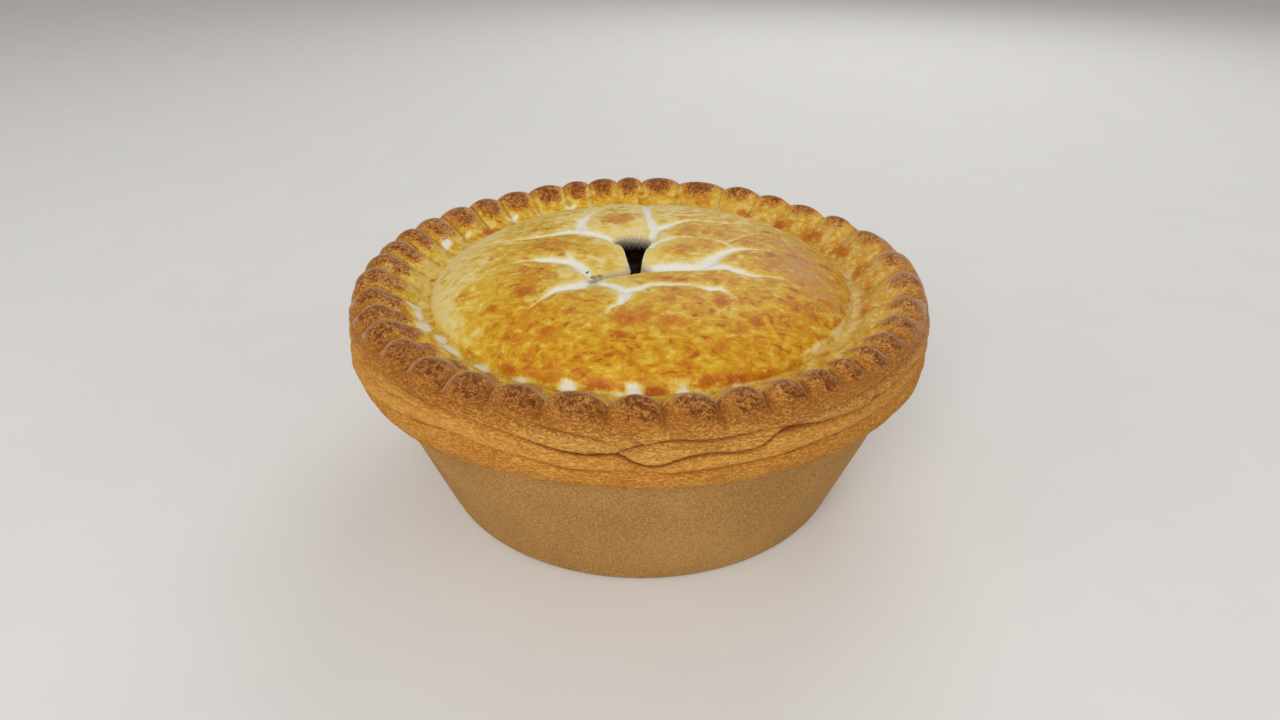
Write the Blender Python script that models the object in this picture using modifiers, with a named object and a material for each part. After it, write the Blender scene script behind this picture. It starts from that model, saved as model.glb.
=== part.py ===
"""Steak and ale pie, whole: a raised pastry case, its filling, and a crimped lid with a torn steam vent.

Metres, +Z up. The origin is on the table under the middle of the pie, and the torn vent's slit points
to the front left (-X, -Y). Each solid starts as a turned blank and is then pressed into its uneven form.
"""

import math

import bpy
import numpy as np

MM = 0.001
NAME = "steak_and_ale_pie"

# Driving dimensions.
RIM_RADIUS = 60.0 * MM
RIM_FOOT_HEIGHT = 33.0 * MM
SEAM_HEIGHT = 40.3 * MM
SEAT_HEIGHT = 38.8 * MM
CREST_RADIUS = 54.6 * MM
CREST_HEIGHT = 48.4 * MM
TROUGH_RADIUS = 45.9 * MM
TROUGH_HEIGHT = 42.4 * MM
DOME_RADIUS = 43.9 * MM
DOME_HEIGHT = 51.6 * MM
BASE_RADIUS = 44.1 * MM
SHOULDER_RADIUS = 56.2 * MM
CORNER = 2.0 * MM
BASE_BELLY = 0.15 * MM
WALL = 4.0 * MM
LID_THICKNESS = 4.6 * MM
GAP = 0.3 * MM

# The crimps. Their spacing drifts round the rim, as a hand presses them: each pair is (lobes, degrees),
# for once, twice and three times round.
CRIMPS = 39
CRIMP_START = -0.62
CRIMP_DRIFT = ((0.72, 138.0), (0.44, 106.0), (0.25, 133.0))
CRIMP_RELIEF = 2.5 * MM
CRIMP_LEAN = math.radians(-3.0)
CRIMP_SEED = 7
MEAN_BULGE = 0.75

# The crimps start this far above the seam, and are full this far below the crest.
CRIMP_FOOT = 1.4 * MM
CREST_DEPTH = 2.0 * MM
# Half the height that the bulge of the case's rim takes up under the seam.
LIP = 1.2 * MM

# The wavy seam between lid and case: (height, times round, degrees).
SEAM_WAVES = ((0.45 * MM, 3, 205.0), (0.35 * MM, 7, 20.0), (0.55 * MM, 11, 250.0))
# How far the rim is from round: (offset, times round, degrees).
RIM_WAVES = ((0.3 * MM, 1, 270.0), (0.15 * MM, 3, 170.0), (0.15 * MM, 5, 80.0), (0.12 * MM, 8, 10.0))
# How far the crest of the rim rises and dips: (height, times round, degrees).
CREST_WAVES = ((0.35 * MM, 1, 10.0), (0.2 * MM, 4, 60.0))
# The rim slumps at the right back.
SLUMP_ANGLE = math.radians(33.0)
SLUMP_SPREAD = math.radians(24.0)
SLUMP_DROP = 1.2 * MM
SLUMP_INWARD = 0.9 * MM
# The uneven rim's bounding box is centred on the origin by standing the pie this far off it.
STAND = (0.2 * MM, -0.16 * MM)

# The lid sinks towards its tear: (x, y, depth, reach).
SINKS = (
    (-1.8 * MM, 7.6 * MM, 2.0 * MM, 3.6 * MM),
    (-1.0 * MM, -8.5 * MM, 1.3 * MM, 5.0 * MM),
    (-8.0 * MM, -13.0 * MM, 1.1 * MM, 4.5 * MM),
)
# The torn opening, anticlockwise from its back edge, with the slit at the front left.
VENT_OUTLINE = (
    (-2.0 * MM, 8.0 * MM),
    (-4.4 * MM, 7.2 * MM),
    (-5.6 * MM, 5.0 * MM),
    (-4.0 * MM, 0.4 * MM),
    (-2.9 * MM, -4.5 * MM),
    (-2.3 * MM, -9.3 * MM),
    (-6.6 * MM, -11.5 * MM),
    (-9.6 * MM, -13.6 * MM),
    (-9.2 * MM, -14.3 * MM),
    (-6.2 * MM, -12.6 * MM),
    (-0.6 * MM, -10.5 * MM),
    (-0.1 * MM, -8.7 * MM),
    (0.3 * MM, -4.5 * MM),
    (1.3 * MM, 0.4 * MM),
    (2.2 * MM, 4.6 * MM),
    (0.8 * MM, 7.2 * MM),
)
WELL_CENTRE = (-2.0 * MM, -2.0 * MM)
WELL_DEPTH = 4.5 * MM
WELL_REACH = 7.0 * MM

# Radii of the rows across the middle of the lid, as shares of the dome's: on top, and underneath.
TOP_SHARES = (0.0, 0.1, 0.2, 0.34, 0.55, 0.78, 0.93)
UNDER_SHARES = (0.0, 0.16, 0.34, 0.6, 0.9)

LID_STEPS = CRIMPS * 5
CASE_STEPS = CRIMPS * 3
FILLING_STEPS = 48


def clear_scene():
    for thing in list(bpy.context.scene.objects):
        bpy.data.objects.remove(thing, do_unlink=True)


def make_collection(name):
    collection = bpy.data.collections.new(name)
    bpy.context.scene.collection.children.link(collection)
    return collection


def make_material(name, colour, roughness):
    material = bpy.data.materials.new(name)
    material.use_nodes = True
    shader = material.node_tree.nodes["Principled BSDF"]
    shader.inputs["Base Color"].default_value = (*colour, 1.0)
    shader.inputs["Roughness"].default_value = roughness
    shader.inputs["Metallic"].default_value = 0.0
    material.diffuse_color = (*colour, 1.0)
    return material


def smoothstep(edge0, edge1, value):
    """0 below edge0, 1 above edge1, and an S curve between."""
    share = np.clip((value - edge0) / (edge1 - edge0), 0.0, 1.0)
    return share * share * (3.0 - 2.0 * share)


def waves(angle, terms):
    """The sum of sine waves round the pie."""
    return sum(size * np.sin(times * angle + math.radians(turn)) for size, times, turn in terms)


def crimp_phase(angle):
    """How many crimps lie between the start and this angle."""
    phase = CRIMPS * angle / math.tau + CRIMP_START
    for times, (lobes, turn) in enumerate(CRIMP_DRIFT, start=1):
        phase = phase + lobes * np.sin(times * angle + math.radians(turn))
    return phase


def crimp_angle(phase):
    """The angle of a crimp phase: crimp_phase turned round, read from a fine table."""
    table = np.linspace(-math.tau, 2.0 * math.tau, 6001)
    return np.interp(phase, crimp_phase(table), table)


def crimp_bulge(phase):
    """0 in the notch between two crimps, and about 1 on top of each, which leans over the next."""
    heights = np.random.default_rng(CRIMP_SEED).uniform(0.8, 1.12, CRIMPS)
    share = np.mod(phase, 1.0)
    lobe = np.floor(phase + 1e-6).astype(int) % CRIMPS
    return heights[lobe] * np.sin(math.pi * share**1.15).clip(0.0) ** 0.6


def dome_height(radius):
    """The smooth lid inside the trough: nearly flat, with steep edges."""
    edge = TROUGH_HEIGHT + 1.0 * MM
    return DOME_HEIGHT - (DOME_HEIGHT - edge) * (radius / DOME_RADIUS) ** 4


def sink_depth(x, y):
    """How far the lid sags beside its tear."""
    return sum(
        depth * np.exp(-((x - cx) ** 2 + (y - cy) ** 2) / (2.0 * reach**2))
        for cx, cy, depth, reach in SINKS
    )


def under_lid(radius):
    """Height of the lid's underside: level where it lies on the rim, and arched under the dome."""
    rise = DOME_HEIGHT - LID_THICKNESS - SEAT_HEIGHT
    return SEAT_HEIGHT + rise * smoothstep(DOME_RADIUS, 0.3 * DOME_RADIUS, radius)


def lid_profile():
    """The lid's half section, from the centre of its top, out over the crimps, to the centre underneath."""
    top = [(share * DOME_RADIUS, dome_height(share * DOME_RADIUS)) for share in TOP_SHARES]
    rim = [
        (DOME_RADIUS + 0.4 * MM, TROUGH_HEIGHT + 0.5 * MM),
        (TROUGH_RADIUS + 0.4 * MM, TROUGH_HEIGHT),
        (CREST_RADIUS - 6.2 * MM, TROUGH_HEIGHT + 2.2 * MM),
        (CREST_RADIUS - 3.6 * MM, CREST_HEIGHT - 2.0 * MM),
        (CREST_RADIUS - 1.6 * MM, CREST_HEIGHT - 0.5 * MM),
        (CREST_RADIUS + 0.2 * MM, CREST_HEIGHT),
        (CREST_RADIUS + 1.6 * MM, CREST_HEIGHT - 1.1 * MM),
        (CREST_RADIUS + 2.6 * MM, CREST_HEIGHT - 2.9 * MM),
        (CREST_RADIUS + 3.5 * MM, CREST_HEIGHT - 5.0 * MM),
        (RIM_RADIUS - 1.0 * MM, SEAM_HEIGHT + 1.3 * MM),
        (RIM_RADIUS - 0.9 * MM, SEAM_HEIGHT + GAP / 2),
    ]
    inner = SHOULDER_RADIUS - WALL
    under = [(inner, SEAT_HEIGHT)]
    for share in reversed(UNDER_SHARES):
        under.append((share * DOME_RADIUS, under_lid(share * DOME_RADIUS)))
    return top + rim + under


def base_profile():
    """The outside of the case below the rim, from the shoulder down its round corner to the middle."""
    run = SHOULDER_RADIUS - BASE_RADIUS
    slope = math.atan2(run, RIM_FOOT_HEIGHT)
    side = []
    for share in (1.0, 0.55, 0.13):
        belly = BASE_BELLY * math.sin(math.pi * share)
        side.append((BASE_RADIUS + run * share + belly, RIM_FOOT_HEIGHT * share))
    corner_radius = BASE_RADIUS - CORNER * (1.0 - math.sin(slope)) / math.cos(slope)
    corner = [
        (corner_radius + CORNER * math.sin(turn), CORNER * (1.0 - math.cos(turn)))
        for turn in (math.radians(45.0), 0.0)
    ]
    return side + corner + [(0.0, 0.0)]


def case_profile():
    """The case's half section, from the centre of its floor, up inside, over the rim and down outside."""
    inner = SHOULDER_RADIUS - WALL
    inside = [
        (0.0, WALL),
        (BASE_RADIUS - WALL - 1.0 * MM, WALL),
        (BASE_RADIUS - WALL + 1.6 * MM, WALL + 2.6 * MM),
        (inner, RIM_FOOT_HEIGHT),
        (inner, SEAT_HEIGHT - GAP),
    ]
    rim = [
        (RIM_RADIUS - 0.7 * MM, SEAM_HEIGHT - GAP / 2),
        (RIM_RADIUS - 0.1 * MM, SEAM_HEIGHT - LIP),
        (RIM_RADIUS - 0.5 * MM, RIM_FOOT_HEIGHT + 4.0 * MM),
        (RIM_RADIUS - 0.1 * MM, RIM_FOOT_HEIGHT + 2.4 * MM),
        (RIM_RADIUS - 0.9 * MM, RIM_FOOT_HEIGHT + 0.3 * MM),
        (RIM_RADIUS - 2.4 * MM, RIM_FOOT_HEIGHT - 0.2 * MM),
    ]
    return inside + rim + base_profile()


def filling_profile():
    """The filling's half section: it fills the case up to the lid, with a gap to both."""
    inner = SHOULDER_RADIUS - WALL - GAP
    top = [(share * DOME_RADIUS, under_lid(share * DOME_RADIUS) - GAP) for share in UNDER_SHARES]
    side = [
        (inner, SEAT_HEIGHT - GAP),
        (inner, RIM_FOOT_HEIGHT),
        (BASE_RADIUS - WALL + 1.6 * MM - GAP, WALL + 2.6 * MM + GAP),
        (BASE_RADIUS - WALL - 1.0 * MM - GAP, WALL + GAP),
        (0.0, WALL + GAP),
    ]
    return top + side


def turn_blank(name, profile, steps, collection, material):
    """A solid of revolution from its half section, with its modifier applied."""
    mesh = bpy.data.meshes.new(name)
    edges = [(i, i + 1) for i in range(len(profile) - 1)]
    mesh.from_pydata([(radius, 0.0, height) for radius, height in profile], edges, [])
    guide = bpy.data.objects.new(name + "_profile", mesh)
    collection.objects.link(guide)
    screw = guide.modifiers.new("Turn", "SCREW")
    screw.axis = "Z"
    screw.steps = steps
    screw.render_steps = steps
    screw.use_merge_vertices = True
    screw.merge_threshold = 0.00001
    bpy.context.view_layer.update()
    turned = bpy.data.meshes.new_from_object(guide.evaluated_get(bpy.context.evaluated_depsgraph_get()))
    bpy.data.objects.remove(guide, do_unlink=True)
    turned.name = name
    turned.materials.append(material)
    blank = bpy.data.objects.new(name, turned)
    collection.objects.link(blank)
    return blank


def press(blank, form):
    """Moves every point of a blank: form takes its radius, angle and height and gives x, y, z."""
    points = np.empty(len(blank.data.vertices) * 3)
    blank.data.vertices.foreach_get("co", points)
    x, y, z = points.reshape(-1, 3).T
    moved = form(np.hypot(x, y), np.mod(np.arctan2(y, x), math.tau), z)
    standing = np.column_stack(moved) + (*STAND, 0.0)
    blank.data.vertices.foreach_set("co", standing.ravel())
    blank.data.update()
    blank.data.shade_smooth()
    blank.data.set_sharp_from_angle(angle=math.radians(50.0))


def slump(angle):
    """1 where the rim slumps most, fading to 0 round the rest."""
    away = np.mod(angle - SLUMP_ANGLE + math.pi, math.tau) - math.pi
    return np.exp(-((away / SLUMP_SPREAD) ** 2))


def rim_offset(angle):
    """How far the rim stands out of or inside its circle."""
    return waves(angle, RIM_WAVES) - SLUMP_INWARD * slump(angle)


def seam_sway(radius, angle):
    """How far the seam is off its mean height: nothing at the wall's inner face, and all at the rim."""
    return waves(angle, SEAM_WAVES) * smoothstep(SHOULDER_RADIUS - WALL, RIM_RADIUS - LIP, radius)


def rim_share(radius):
    """1 at the rim and 0 inside the case's wall, for what only bends the rim."""
    return smoothstep(SHOULDER_RADIUS - WALL + 0.5 * MM, SHOULDER_RADIUS, radius)


def lid_form(radius, angle, height):
    """Presses the crimps, the wavy seam and the sagging middle into the lid's blank."""
    on_top = height > under_lid(radius) + 1.0 * MM
    phase = CRIMPS * angle / math.tau
    lean = CRIMP_LEAN * smoothstep(CREST_RADIUS, RIM_RADIUS, radius)
    middle = smoothstep(0.2 * DOME_RADIUS, 0.95 * DOME_RADIUS, radius)
    turned = angle + (crimp_angle(phase) + lean - angle) * middle
    inward = smoothstep(TROUGH_RADIUS, CREST_RADIUS - 2.0 * MM, radius)
    outward = smoothstep(SEAM_HEIGHT + CRIMP_FOOT, CREST_HEIGHT - CREST_DEPTH, height)
    share = np.where(radius < CREST_RADIUS, inward, outward) * on_top
    push = CRIMP_RELIEF * share * (crimp_bulge(phase) - MEAN_BULGE)
    tilt = math.radians(90.0) * smoothstep(CREST_RADIUS - 3.0 * MM, RIM_RADIUS + 2.0 * MM, radius)
    low = 1.0 - smoothstep(SEAM_HEIGHT + GAP, CREST_HEIGHT - CREST_DEPTH, height)
    sway = seam_sway(radius, turned) * low
    out = radius + push * np.sin(tilt) + rim_offset(turned) * rim_share(radius)
    x = out * np.cos(turned)
    y = out * np.sin(turned)
    lift = (waves(turned, CREST_WAVES) - SLUMP_DROP * slump(turned)) * (1.0 - low) * rim_share(radius)
    return x, y, height + push * np.cos(tilt) + sway + lift - sink_depth(x, y)


def case_form(radius, angle, height):
    """Bends the case's rim to the lid's wavy seam."""
    high = smoothstep(RIM_FOOT_HEIGHT + LIP, SEAM_HEIGHT - LIP, height)
    sway = seam_sway(radius, angle) * high
    bend = rim_share(radius) * smoothstep(0.0, RIM_FOOT_HEIGHT, height)
    out = radius + rim_offset(angle) * bend
    return out * np.cos(angle), out * np.sin(angle), height + sway


def filling_form(radius, angle, height):
    """Sinks the filling's top with the lid, and deeper under the vent."""
    x = radius * np.cos(angle)
    y = radius * np.sin(angle)
    from_well = (x - WELL_CENTRE[0]) ** 2 + (y - WELL_CENTRE[1]) ** 2
    well = WELL_DEPTH * np.exp(-from_well / (2.0 * WELL_REACH**2))
    return x, y, height - (sink_depth(x, y) + well) * (height > RIM_FOOT_HEIGHT)


def make_lid(collection, material):
    lid = turn_blank("lid", lid_profile(), LID_STEPS, collection, material)
    press(lid, lid_form)
    return lid


def make_case(collection, material):
    case = turn_blank("pastry_case", case_profile(), CASE_STEPS, collection, material)
    press(case, case_form)
    return case


def make_filling(collection, material):
    filling = turn_blank("filling", filling_profile(), FILLING_STEPS, collection, material)
    press(filling, filling_form)
    return filling


def make_vent_cutter(collection):
    """An upright block with the tear's outline, tall enough to pass right through the lid."""
    outline = bpy.data.curves.new("vent_outline", "CURVE")
    outline.dimensions = "2D"
    outline.fill_mode = "BOTH"
    outline.extrude = 2.0 * LID_THICKNESS
    spline = outline.splines.new("POLY")
    spline.points.add(len(VENT_OUTLINE) - 1)
    for point, (x, y) in zip(spline.points, VENT_OUTLINE):
        point.co = (x, y, 0.0, 1.0)
    spline.use_cyclic_u = True
    guide = bpy.data.objects.new("vent_outline", outline)
    guide.location = (*STAND, DOME_HEIGHT - LID_THICKNESS)
    collection.objects.link(guide)
    bpy.context.view_layer.update()
    mesh = bpy.data.meshes.new_from_object(guide.evaluated_get(bpy.context.evaluated_depsgraph_get()))
    weld = bpy.data.objects.new("vent_cutter", mesh)
    weld.matrix_world = guide.matrix_world
    collection.objects.link(weld)
    bpy.data.objects.remove(guide, do_unlink=True)
    merge = weld.modifiers.new("Close", "WELD")
    merge.merge_threshold = 0.00001
    weld.hide_render = True
    weld.display_type = "WIRE"
    return weld


def cut(solid, cutter):
    tear = solid.modifiers.new("Tear", "BOOLEAN")
    tear.operation = "DIFFERENCE"
    tear.solver = "EXACT"
    tear.object = cutter


def main():
    clear_scene()
    parts = make_collection(NAME)
    cutters = make_collection(NAME + "_cutters")
    lid = make_lid(parts, make_material("glazed_lid_pastry", (0.55, 0.3, 0.06), 0.42))
    make_case(parts, make_material("baked_case_pastry", (0.42, 0.21, 0.07), 0.7))
    make_filling(parts, make_material("ale_gravy", (0.035, 0.015, 0.006), 0.25))
    cut(lid, make_vent_cutter(cutters))


main()
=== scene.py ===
"""A steak and ale pie: the glazed lid with its crimped rim, the folded pastry edge, the straight baked
case, and the dark gravy that shows through the tear in the lid.

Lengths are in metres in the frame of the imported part: +Z up, the pie standing on z = 0. Its axis
stands at STAND, and the shapes below are worked out round that axis before they are moved there.
"""

import math

import bpy
import numpy as np
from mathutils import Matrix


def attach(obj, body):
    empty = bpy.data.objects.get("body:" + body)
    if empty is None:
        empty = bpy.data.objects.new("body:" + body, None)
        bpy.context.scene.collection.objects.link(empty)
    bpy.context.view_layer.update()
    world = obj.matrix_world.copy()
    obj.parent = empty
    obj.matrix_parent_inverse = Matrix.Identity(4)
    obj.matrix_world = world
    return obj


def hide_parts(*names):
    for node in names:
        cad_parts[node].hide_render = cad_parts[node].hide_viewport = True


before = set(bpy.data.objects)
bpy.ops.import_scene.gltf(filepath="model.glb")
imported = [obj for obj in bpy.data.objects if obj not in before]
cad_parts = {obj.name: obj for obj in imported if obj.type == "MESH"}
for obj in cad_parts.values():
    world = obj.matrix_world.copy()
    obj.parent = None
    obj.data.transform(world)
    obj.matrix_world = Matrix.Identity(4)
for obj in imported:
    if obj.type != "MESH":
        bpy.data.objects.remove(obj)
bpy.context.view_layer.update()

bl_info = {
    "name": "Steak and ale pie",
    "version": (1, 0, 0),
    "blender": (4, 5, 0),
    "location": "3D View > Sidebar > Pie",
    "description": "Adds the pastry, the gravy and the studio of a small baked pie",
    "category": "Add Mesh",
}

MM = 0.001

# Sizes of the solid model, which the surfaces follow. The axis stands at STAND.
RIM_RADIUS = 60.0 * MM
RIM_FOOT_HEIGHT = 33.0 * MM
SEAM_HEIGHT = 40.3 * MM
SEAT_HEIGHT = 38.8 * MM
CREST_RADIUS = 54.6 * MM
CREST_HEIGHT = 48.4 * MM
TROUGH_RADIUS = 45.9 * MM
TROUGH_HEIGHT = 42.4 * MM
DOME_RADIUS = 43.9 * MM
DOME_HEIGHT = 51.6 * MM
BASE_RADIUS = 44.1 * MM
SHOULDER_RADIUS = 56.2 * MM
CORNER = 2.0 * MM
BASE_BELLY = 0.15 * MM
WALL = 4.0 * MM
LID_THICKNESS = 4.6 * MM
GAP = 0.3 * MM
STAND = (0.2 * MM, -0.16 * MM)
TOUCH = 0.03 * MM

# Angles of the notches between the hand-pressed crimps, in degrees.
CRIMP_EDGES = (
    -4.0, 8.0, 22.0, 34.0, 46.0, 56.0, 66.4, 79.3, 89.8, 96.6, 104.6, 111.9, 121.6, 131.2, 139.7,
    149.3, 158.7, 166.3, 174.6, 182.5, 192.0, 200.5, 207.5, 216.0, 225.0, 234.5, 243.5, 253.2, 264.3,
    273.7, 283.0, 291.3, 299.0, 306.0, 312.0, 319.0, 326.0, 335.0, 344.0,
)
CRIMPS = len(CRIMP_EDGES)
CRIMP_SEED = 7
# The bulge of a crimp that leaves the section where it is.
MEAN_BULGE = 0.95
CREST_DEPTH = 2.0 * MM
LIP = 1.2 * MM

# Uneven circles, as sines of (size, times round, turn in degrees).
RIM_WAVES = ((0.3 * MM, 1, 270.0), (0.15 * MM, 3, 170.0), (0.15 * MM, 5, 80.0), (0.12 * MM, 8, 10.0))
CREST_WAVES = ((0.6 * MM, 1, 10.0), (0.2 * MM, 2, 90.0), (0.2 * MM, 4, 60.0))
# Where the rim sags at the back right, how far round, how far down and how far in.
SLUMP_ANGLE = math.radians(33.0)
SLUMP_SPREAD = math.radians(24.0)
SLUMP_DROP = 1.2 * MM
SLUMP_INWARD = 0.9 * MM

# The tear in the lid and the sags beside it: (x, y), and (x, y, depth, reach), in millimetres.
VENT_OUTLINE = (
    (-1.8, 9.6), (-4.2, 8.8), (-5.7, 6.4), (-5.2, 3.8), (-3.9, 0.2), (-2.9, -4.5), (-2.3, -9.3),
    (-6.6, -11.5), (-9.6, -13.6), (-9.2, -14.3), (-6.2, -12.6), (-0.6, -10.5), (-0.1, -8.7),
    (0.3, -4.5), (1.3, 0.4), (2.2, 3.8), (2.3, 6.4), (0.8, 8.8),
)
SINKS = ((-1.8, 7.6, 1.7, 3.4), (-1.0, -8.5, 1.3, 5.0), (-8.0, -13.0, 1.1, 4.5))
# The dip in the gravy below the tear.
WELL_CENTRE = (-2.0 * MM, -2.0 * MM)
WELL_DEPTH = 4.5 * MM
WELL_REACH = 7.0 * MM

# Pale valleys between the puffed leaves of the lid: (x, y, half width) in millimetres.
VALLEYS = (
    (
        (1.4, 42.0, 0.8), (1.6, 32.0, 1.4), (1.2, 26.0, 0.9), (1.6, 19.5, 0.9), (2.4, 15.3, 1.0),
        (3.1, 11.2, 1.2),
    ),
    ((3.1, 11.2, 1.2), (2.5, 6.6, 0.8)),
    (
        (3.2, 11.4, 1.2), (5.5, 12.5, 1.0), (8.3, 15.1, 0.8), (10.6, 16.7, 0.6), (13.3, 16.6, 0.5),
        (16.0, 15.8, 0.45),
    ),
    ((16.0, 15.8, 0.45), (18.4, 15.4, 0.45), (22.4, 16.3, 0.35), (26.0, 16.7, 0.2)),
    ((11.5, 17.2, 0.4), (13.5, 18.4, 0.35), (15.6, 17.9, 0.3), (18.1, 19.8, 0.3), (21.0, 21.0, 0.15)),
    (
        (2.3, 1.2, 0.9), (3.2, 3.4, 0.9), (4.9, 4.4, 0.8), (7.3, 5.3, 0.55), (10.1, 5.6, 0.4),
        (12.4, 5.6, 0.4),
    ),
    ((12.4, 5.6, 0.4), (14.7, 4.3, 0.4), (17.7, 2.3, 0.5), (19.0, 0.2, 0.6)),
    (
        (17.7, 2.3, 0.45), (20.1, 5.0, 0.4), (22.5, 7.5, 0.35), (24.2, 8.9, 0.3),
        (22.7, 10.9, 0.35), (19.8, 13.9, 0.25),
    ),
    (
        (0.3, -8.0, 1.6), (4.8, -8.2, 2.0), (8.0, -9.2, 2.0), (11.3, -9.2, 2.0), (13.4, -7.7, 1.9),
        (15.1, -5.0, 1.5),
    ),
    (
        (15.1, -5.0, 1.5), (16.5, -3.2, 1.2), (18.5, -1.3, 1.0), (20.6, -0.4, 0.8),
        (24.9, -0.3, 0.4), (27.5, 0.0, 0.3),
    ),
    (
        (13.3, -9.4, 1.4), (17.2, -10.0, 1.0), (20.2, -12.2, 0.9), (22.0, -13.3, 0.7),
        (24.4, -12.9, 0.5), (29.0, -12.9, 0.3),
    ),
    (
        (-8.8, -15.4, 1.2), (-5.6, -17.6, 1.0), (-3.0, -21.0, 1.2), (-0.7, -20.2, 1.0),
        (1.8, -18.3, 0.8), (6.0, -18.5, 0.7),
    ),
    (
        (6.0, -18.5, 0.7), (10.0, -18.7, 0.5), (13.0, -20.1, 0.8), (15.0, -19.5, 0.8),
        (16.2, -21.2, 0.5), (18.2, -23.3, 0.3),
    ),
    (
        (-2.9, -21.0, 1.2), (-3.0, -23.5, 1.0), (-3.8, -25.5, 0.8), (-5.6, -27.0, 0.5),
        (-6.3, -28.6, 0.4),
    ),
    (
        (-9.5, -15.0, 1.5), (-11.7, -17.5, 1.6), (-14.0, -18.6, 1.3), (-16.3, -19.8, 0.9),
        (-18.2, -22.3, 0.6),
    ),
    ((-18.2, -22.3, 0.6), (-19.5, -24.2, 0.3), (-21.5, -26.0, 0.1)),
    (
        (-10.3, -12.6, 0.8), (-12.5, -8.5, 1.5), (-14.1, -7.0, 1.4), (-17.9, -6.5, 1.1),
        (-20.0, -6.3, 1.0), (-22.5, -6.2, 0.6),
    ),
    ((-22.5, -6.2, 0.6), (-26.0, -7.0, 0.3)),
    ((-13.6, -7.1, 1.0), (-14.6, -4.8, 0.7), (-15.4, -2.3, 0.4)),
    (
        (-5.4, 4.2, 0.8), (-7.2, 7.0, 1.3), (-9.5, 8.4, 1.7), (-11.7, 9.4, 1.7), (-13.9, 9.8, 1.5),
        (-16.3, 9.2, 1.0),
    ),
    ((-16.3, 9.2, 1.0), (-18.7, 8.0, 0.8), (-23.9, 6.4, 0.6), (-29.4, 6.7, 0.5), (-33.0, 7.1, 0.4)),
    (
        (-13.0, 11.3, 1.4), (-13.4, 14.2, 1.3), (-12.9, 17.0, 1.0), (-12.1, 20.2, 0.75),
        (-10.6, 23.9, 0.55),
    ),
    (
        (-10.6, 23.9, 0.55), (-9.0, 27.6, 0.5), (-6.8, 31.0, 0.55), (-3.6, 32.6, 0.6),
        (-0.6, 32.6, 0.8), (1.6, 32.0, 1.4),
    ),
    ((-13.3, 16.6, 0.8), (-15.8, 18.0, 0.5), (-18.0, 18.6, 0.35), (-20.4, 20.3, 0.25)),
    ((-29.5, 6.8, 0.5), (-27.5, 4.8, 0.55), (-24.8, 3.8, 0.3)),
    ((18.2, -23.3, 0.3), (15.4, -26.5, 0.2), (12.5, -29.5, 0.1)),
)
# The crisp edge in front of the tear, which hides the drop behind it: (x, y, drop) in millimetres.
FRONT_LIP = (
    (-10.6, -14.7, 0.0), (-9.2, -14.2, 0.9), (-6.2, -12.7, 1.0), (-3.0, -11.7, 1.0), (-0.6, -10.9, 1.0),
    (1.2, -11.4, 0.9), (3.0, -11.8, 0.7), (7.4, -12.2, 0.5), (12.9, -12.0, 0.4), (16.0, -12.2, 0.3),
    (20.0, -13.8, 0.25), (24.0, -14.6, 0.0),
)
# How far back the drop behind it fades, in millimetres.
LIP_REACH = 2.2

# The rim's seam, where the lid's edge lies over the case: (angle, height in millimetres, strength).
SEAM_LINE = (
    (0, 40.6, 0.5), (20, 40.2, 0.6), (45, 40.9, 0.5), (70, 40.3, 0.6), (95, 40.8, 0.5),
    (120, 40.1, 0.6), (145, 40.7, 0.6), (170, 40.9, 0.5), (195, 41.5, 0.3), (210, 42.5, 0.3),
    (224, 43.0, 0.35), (240, 42.6, 0.4), (250, 41.5, 0.5), (254, 40.8, 0.8), (257, 40.1, 1.0),
    (260, 39.7, 1.0), (263, 39.8, 1.0), (266, 40.3, 0.8), (267, 39.7, 0.8), (268.5, 38.9, 0.9),
    (270, 38.2, 1.0), (272, 38.0, 1.0), (274, 38.5, 1.0), (277, 39.6, 0.9), (281, 39.9, 0.8),
    (285, 39.4, 0.8), (288, 39.5, 0.7), (290, 40.3, 0.7), (292, 42.0, 0.8), (294, 42.1, 0.8),
    (299, 41.2, 0.7), (304, 40.7, 0.6), (309, 40.3, 0.5), (313, 40.5, 0.4), (322, 41.3, 0.3),
    (330, 41.2, 0.4), (340, 40.8, 0.5),
)
# Folds in the lid's edge and in the case's rim: (angle, height in millimetres, strength).
LID_FOLDS = (
    (
        (0, 43.4, 0.3), (30, 43.8, 0.4), (60, 43.3, 0.3), (90, 43.8, 0.4), (120, 43.3, 0.4),
        (150, 43.8, 0.3), (180, 44.2, 0.4), (200, 44.4, 0.45), (215, 44.0, 0.4), (225, 43.8, 0.1),
        (262, 40.1, 0.0), (265, 40.4, 0.5), (268, 41.2, 1.0), (270, 41.8, 1.0), (273, 42.4, 0.9),
        (276, 42.7, 0.9), (280, 42.4, 0.8), (284, 42.4, 0.7), (290, 42.7, 0.5), (298, 43.0, 0.45),
        (305, 43.0, 0.5), (312, 43.3, 0.55), (318, 43.8, 0.5), (322, 44.0, 0.4), (340, 44.0, 0.3),
    ),
    (
        (0, 45.0, 0.0), (242, 45.0, 0.0), (250, 44.6, 0.35), (254, 43.9, 0.6), (258, 43.3, 0.7),
        (262, 42.9, 0.7), (265, 42.4, 0.6), (267, 41.9, 0.3), (269, 41.5, 0.0),
    ),
    ((262.5, 46.2, 0.0), (264.8, 45.3, 0.5), (268.3, 43.4, 0.6), (271.6, 41.5, 0.3), (273.0, 41.0, 0.0)),
)
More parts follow.
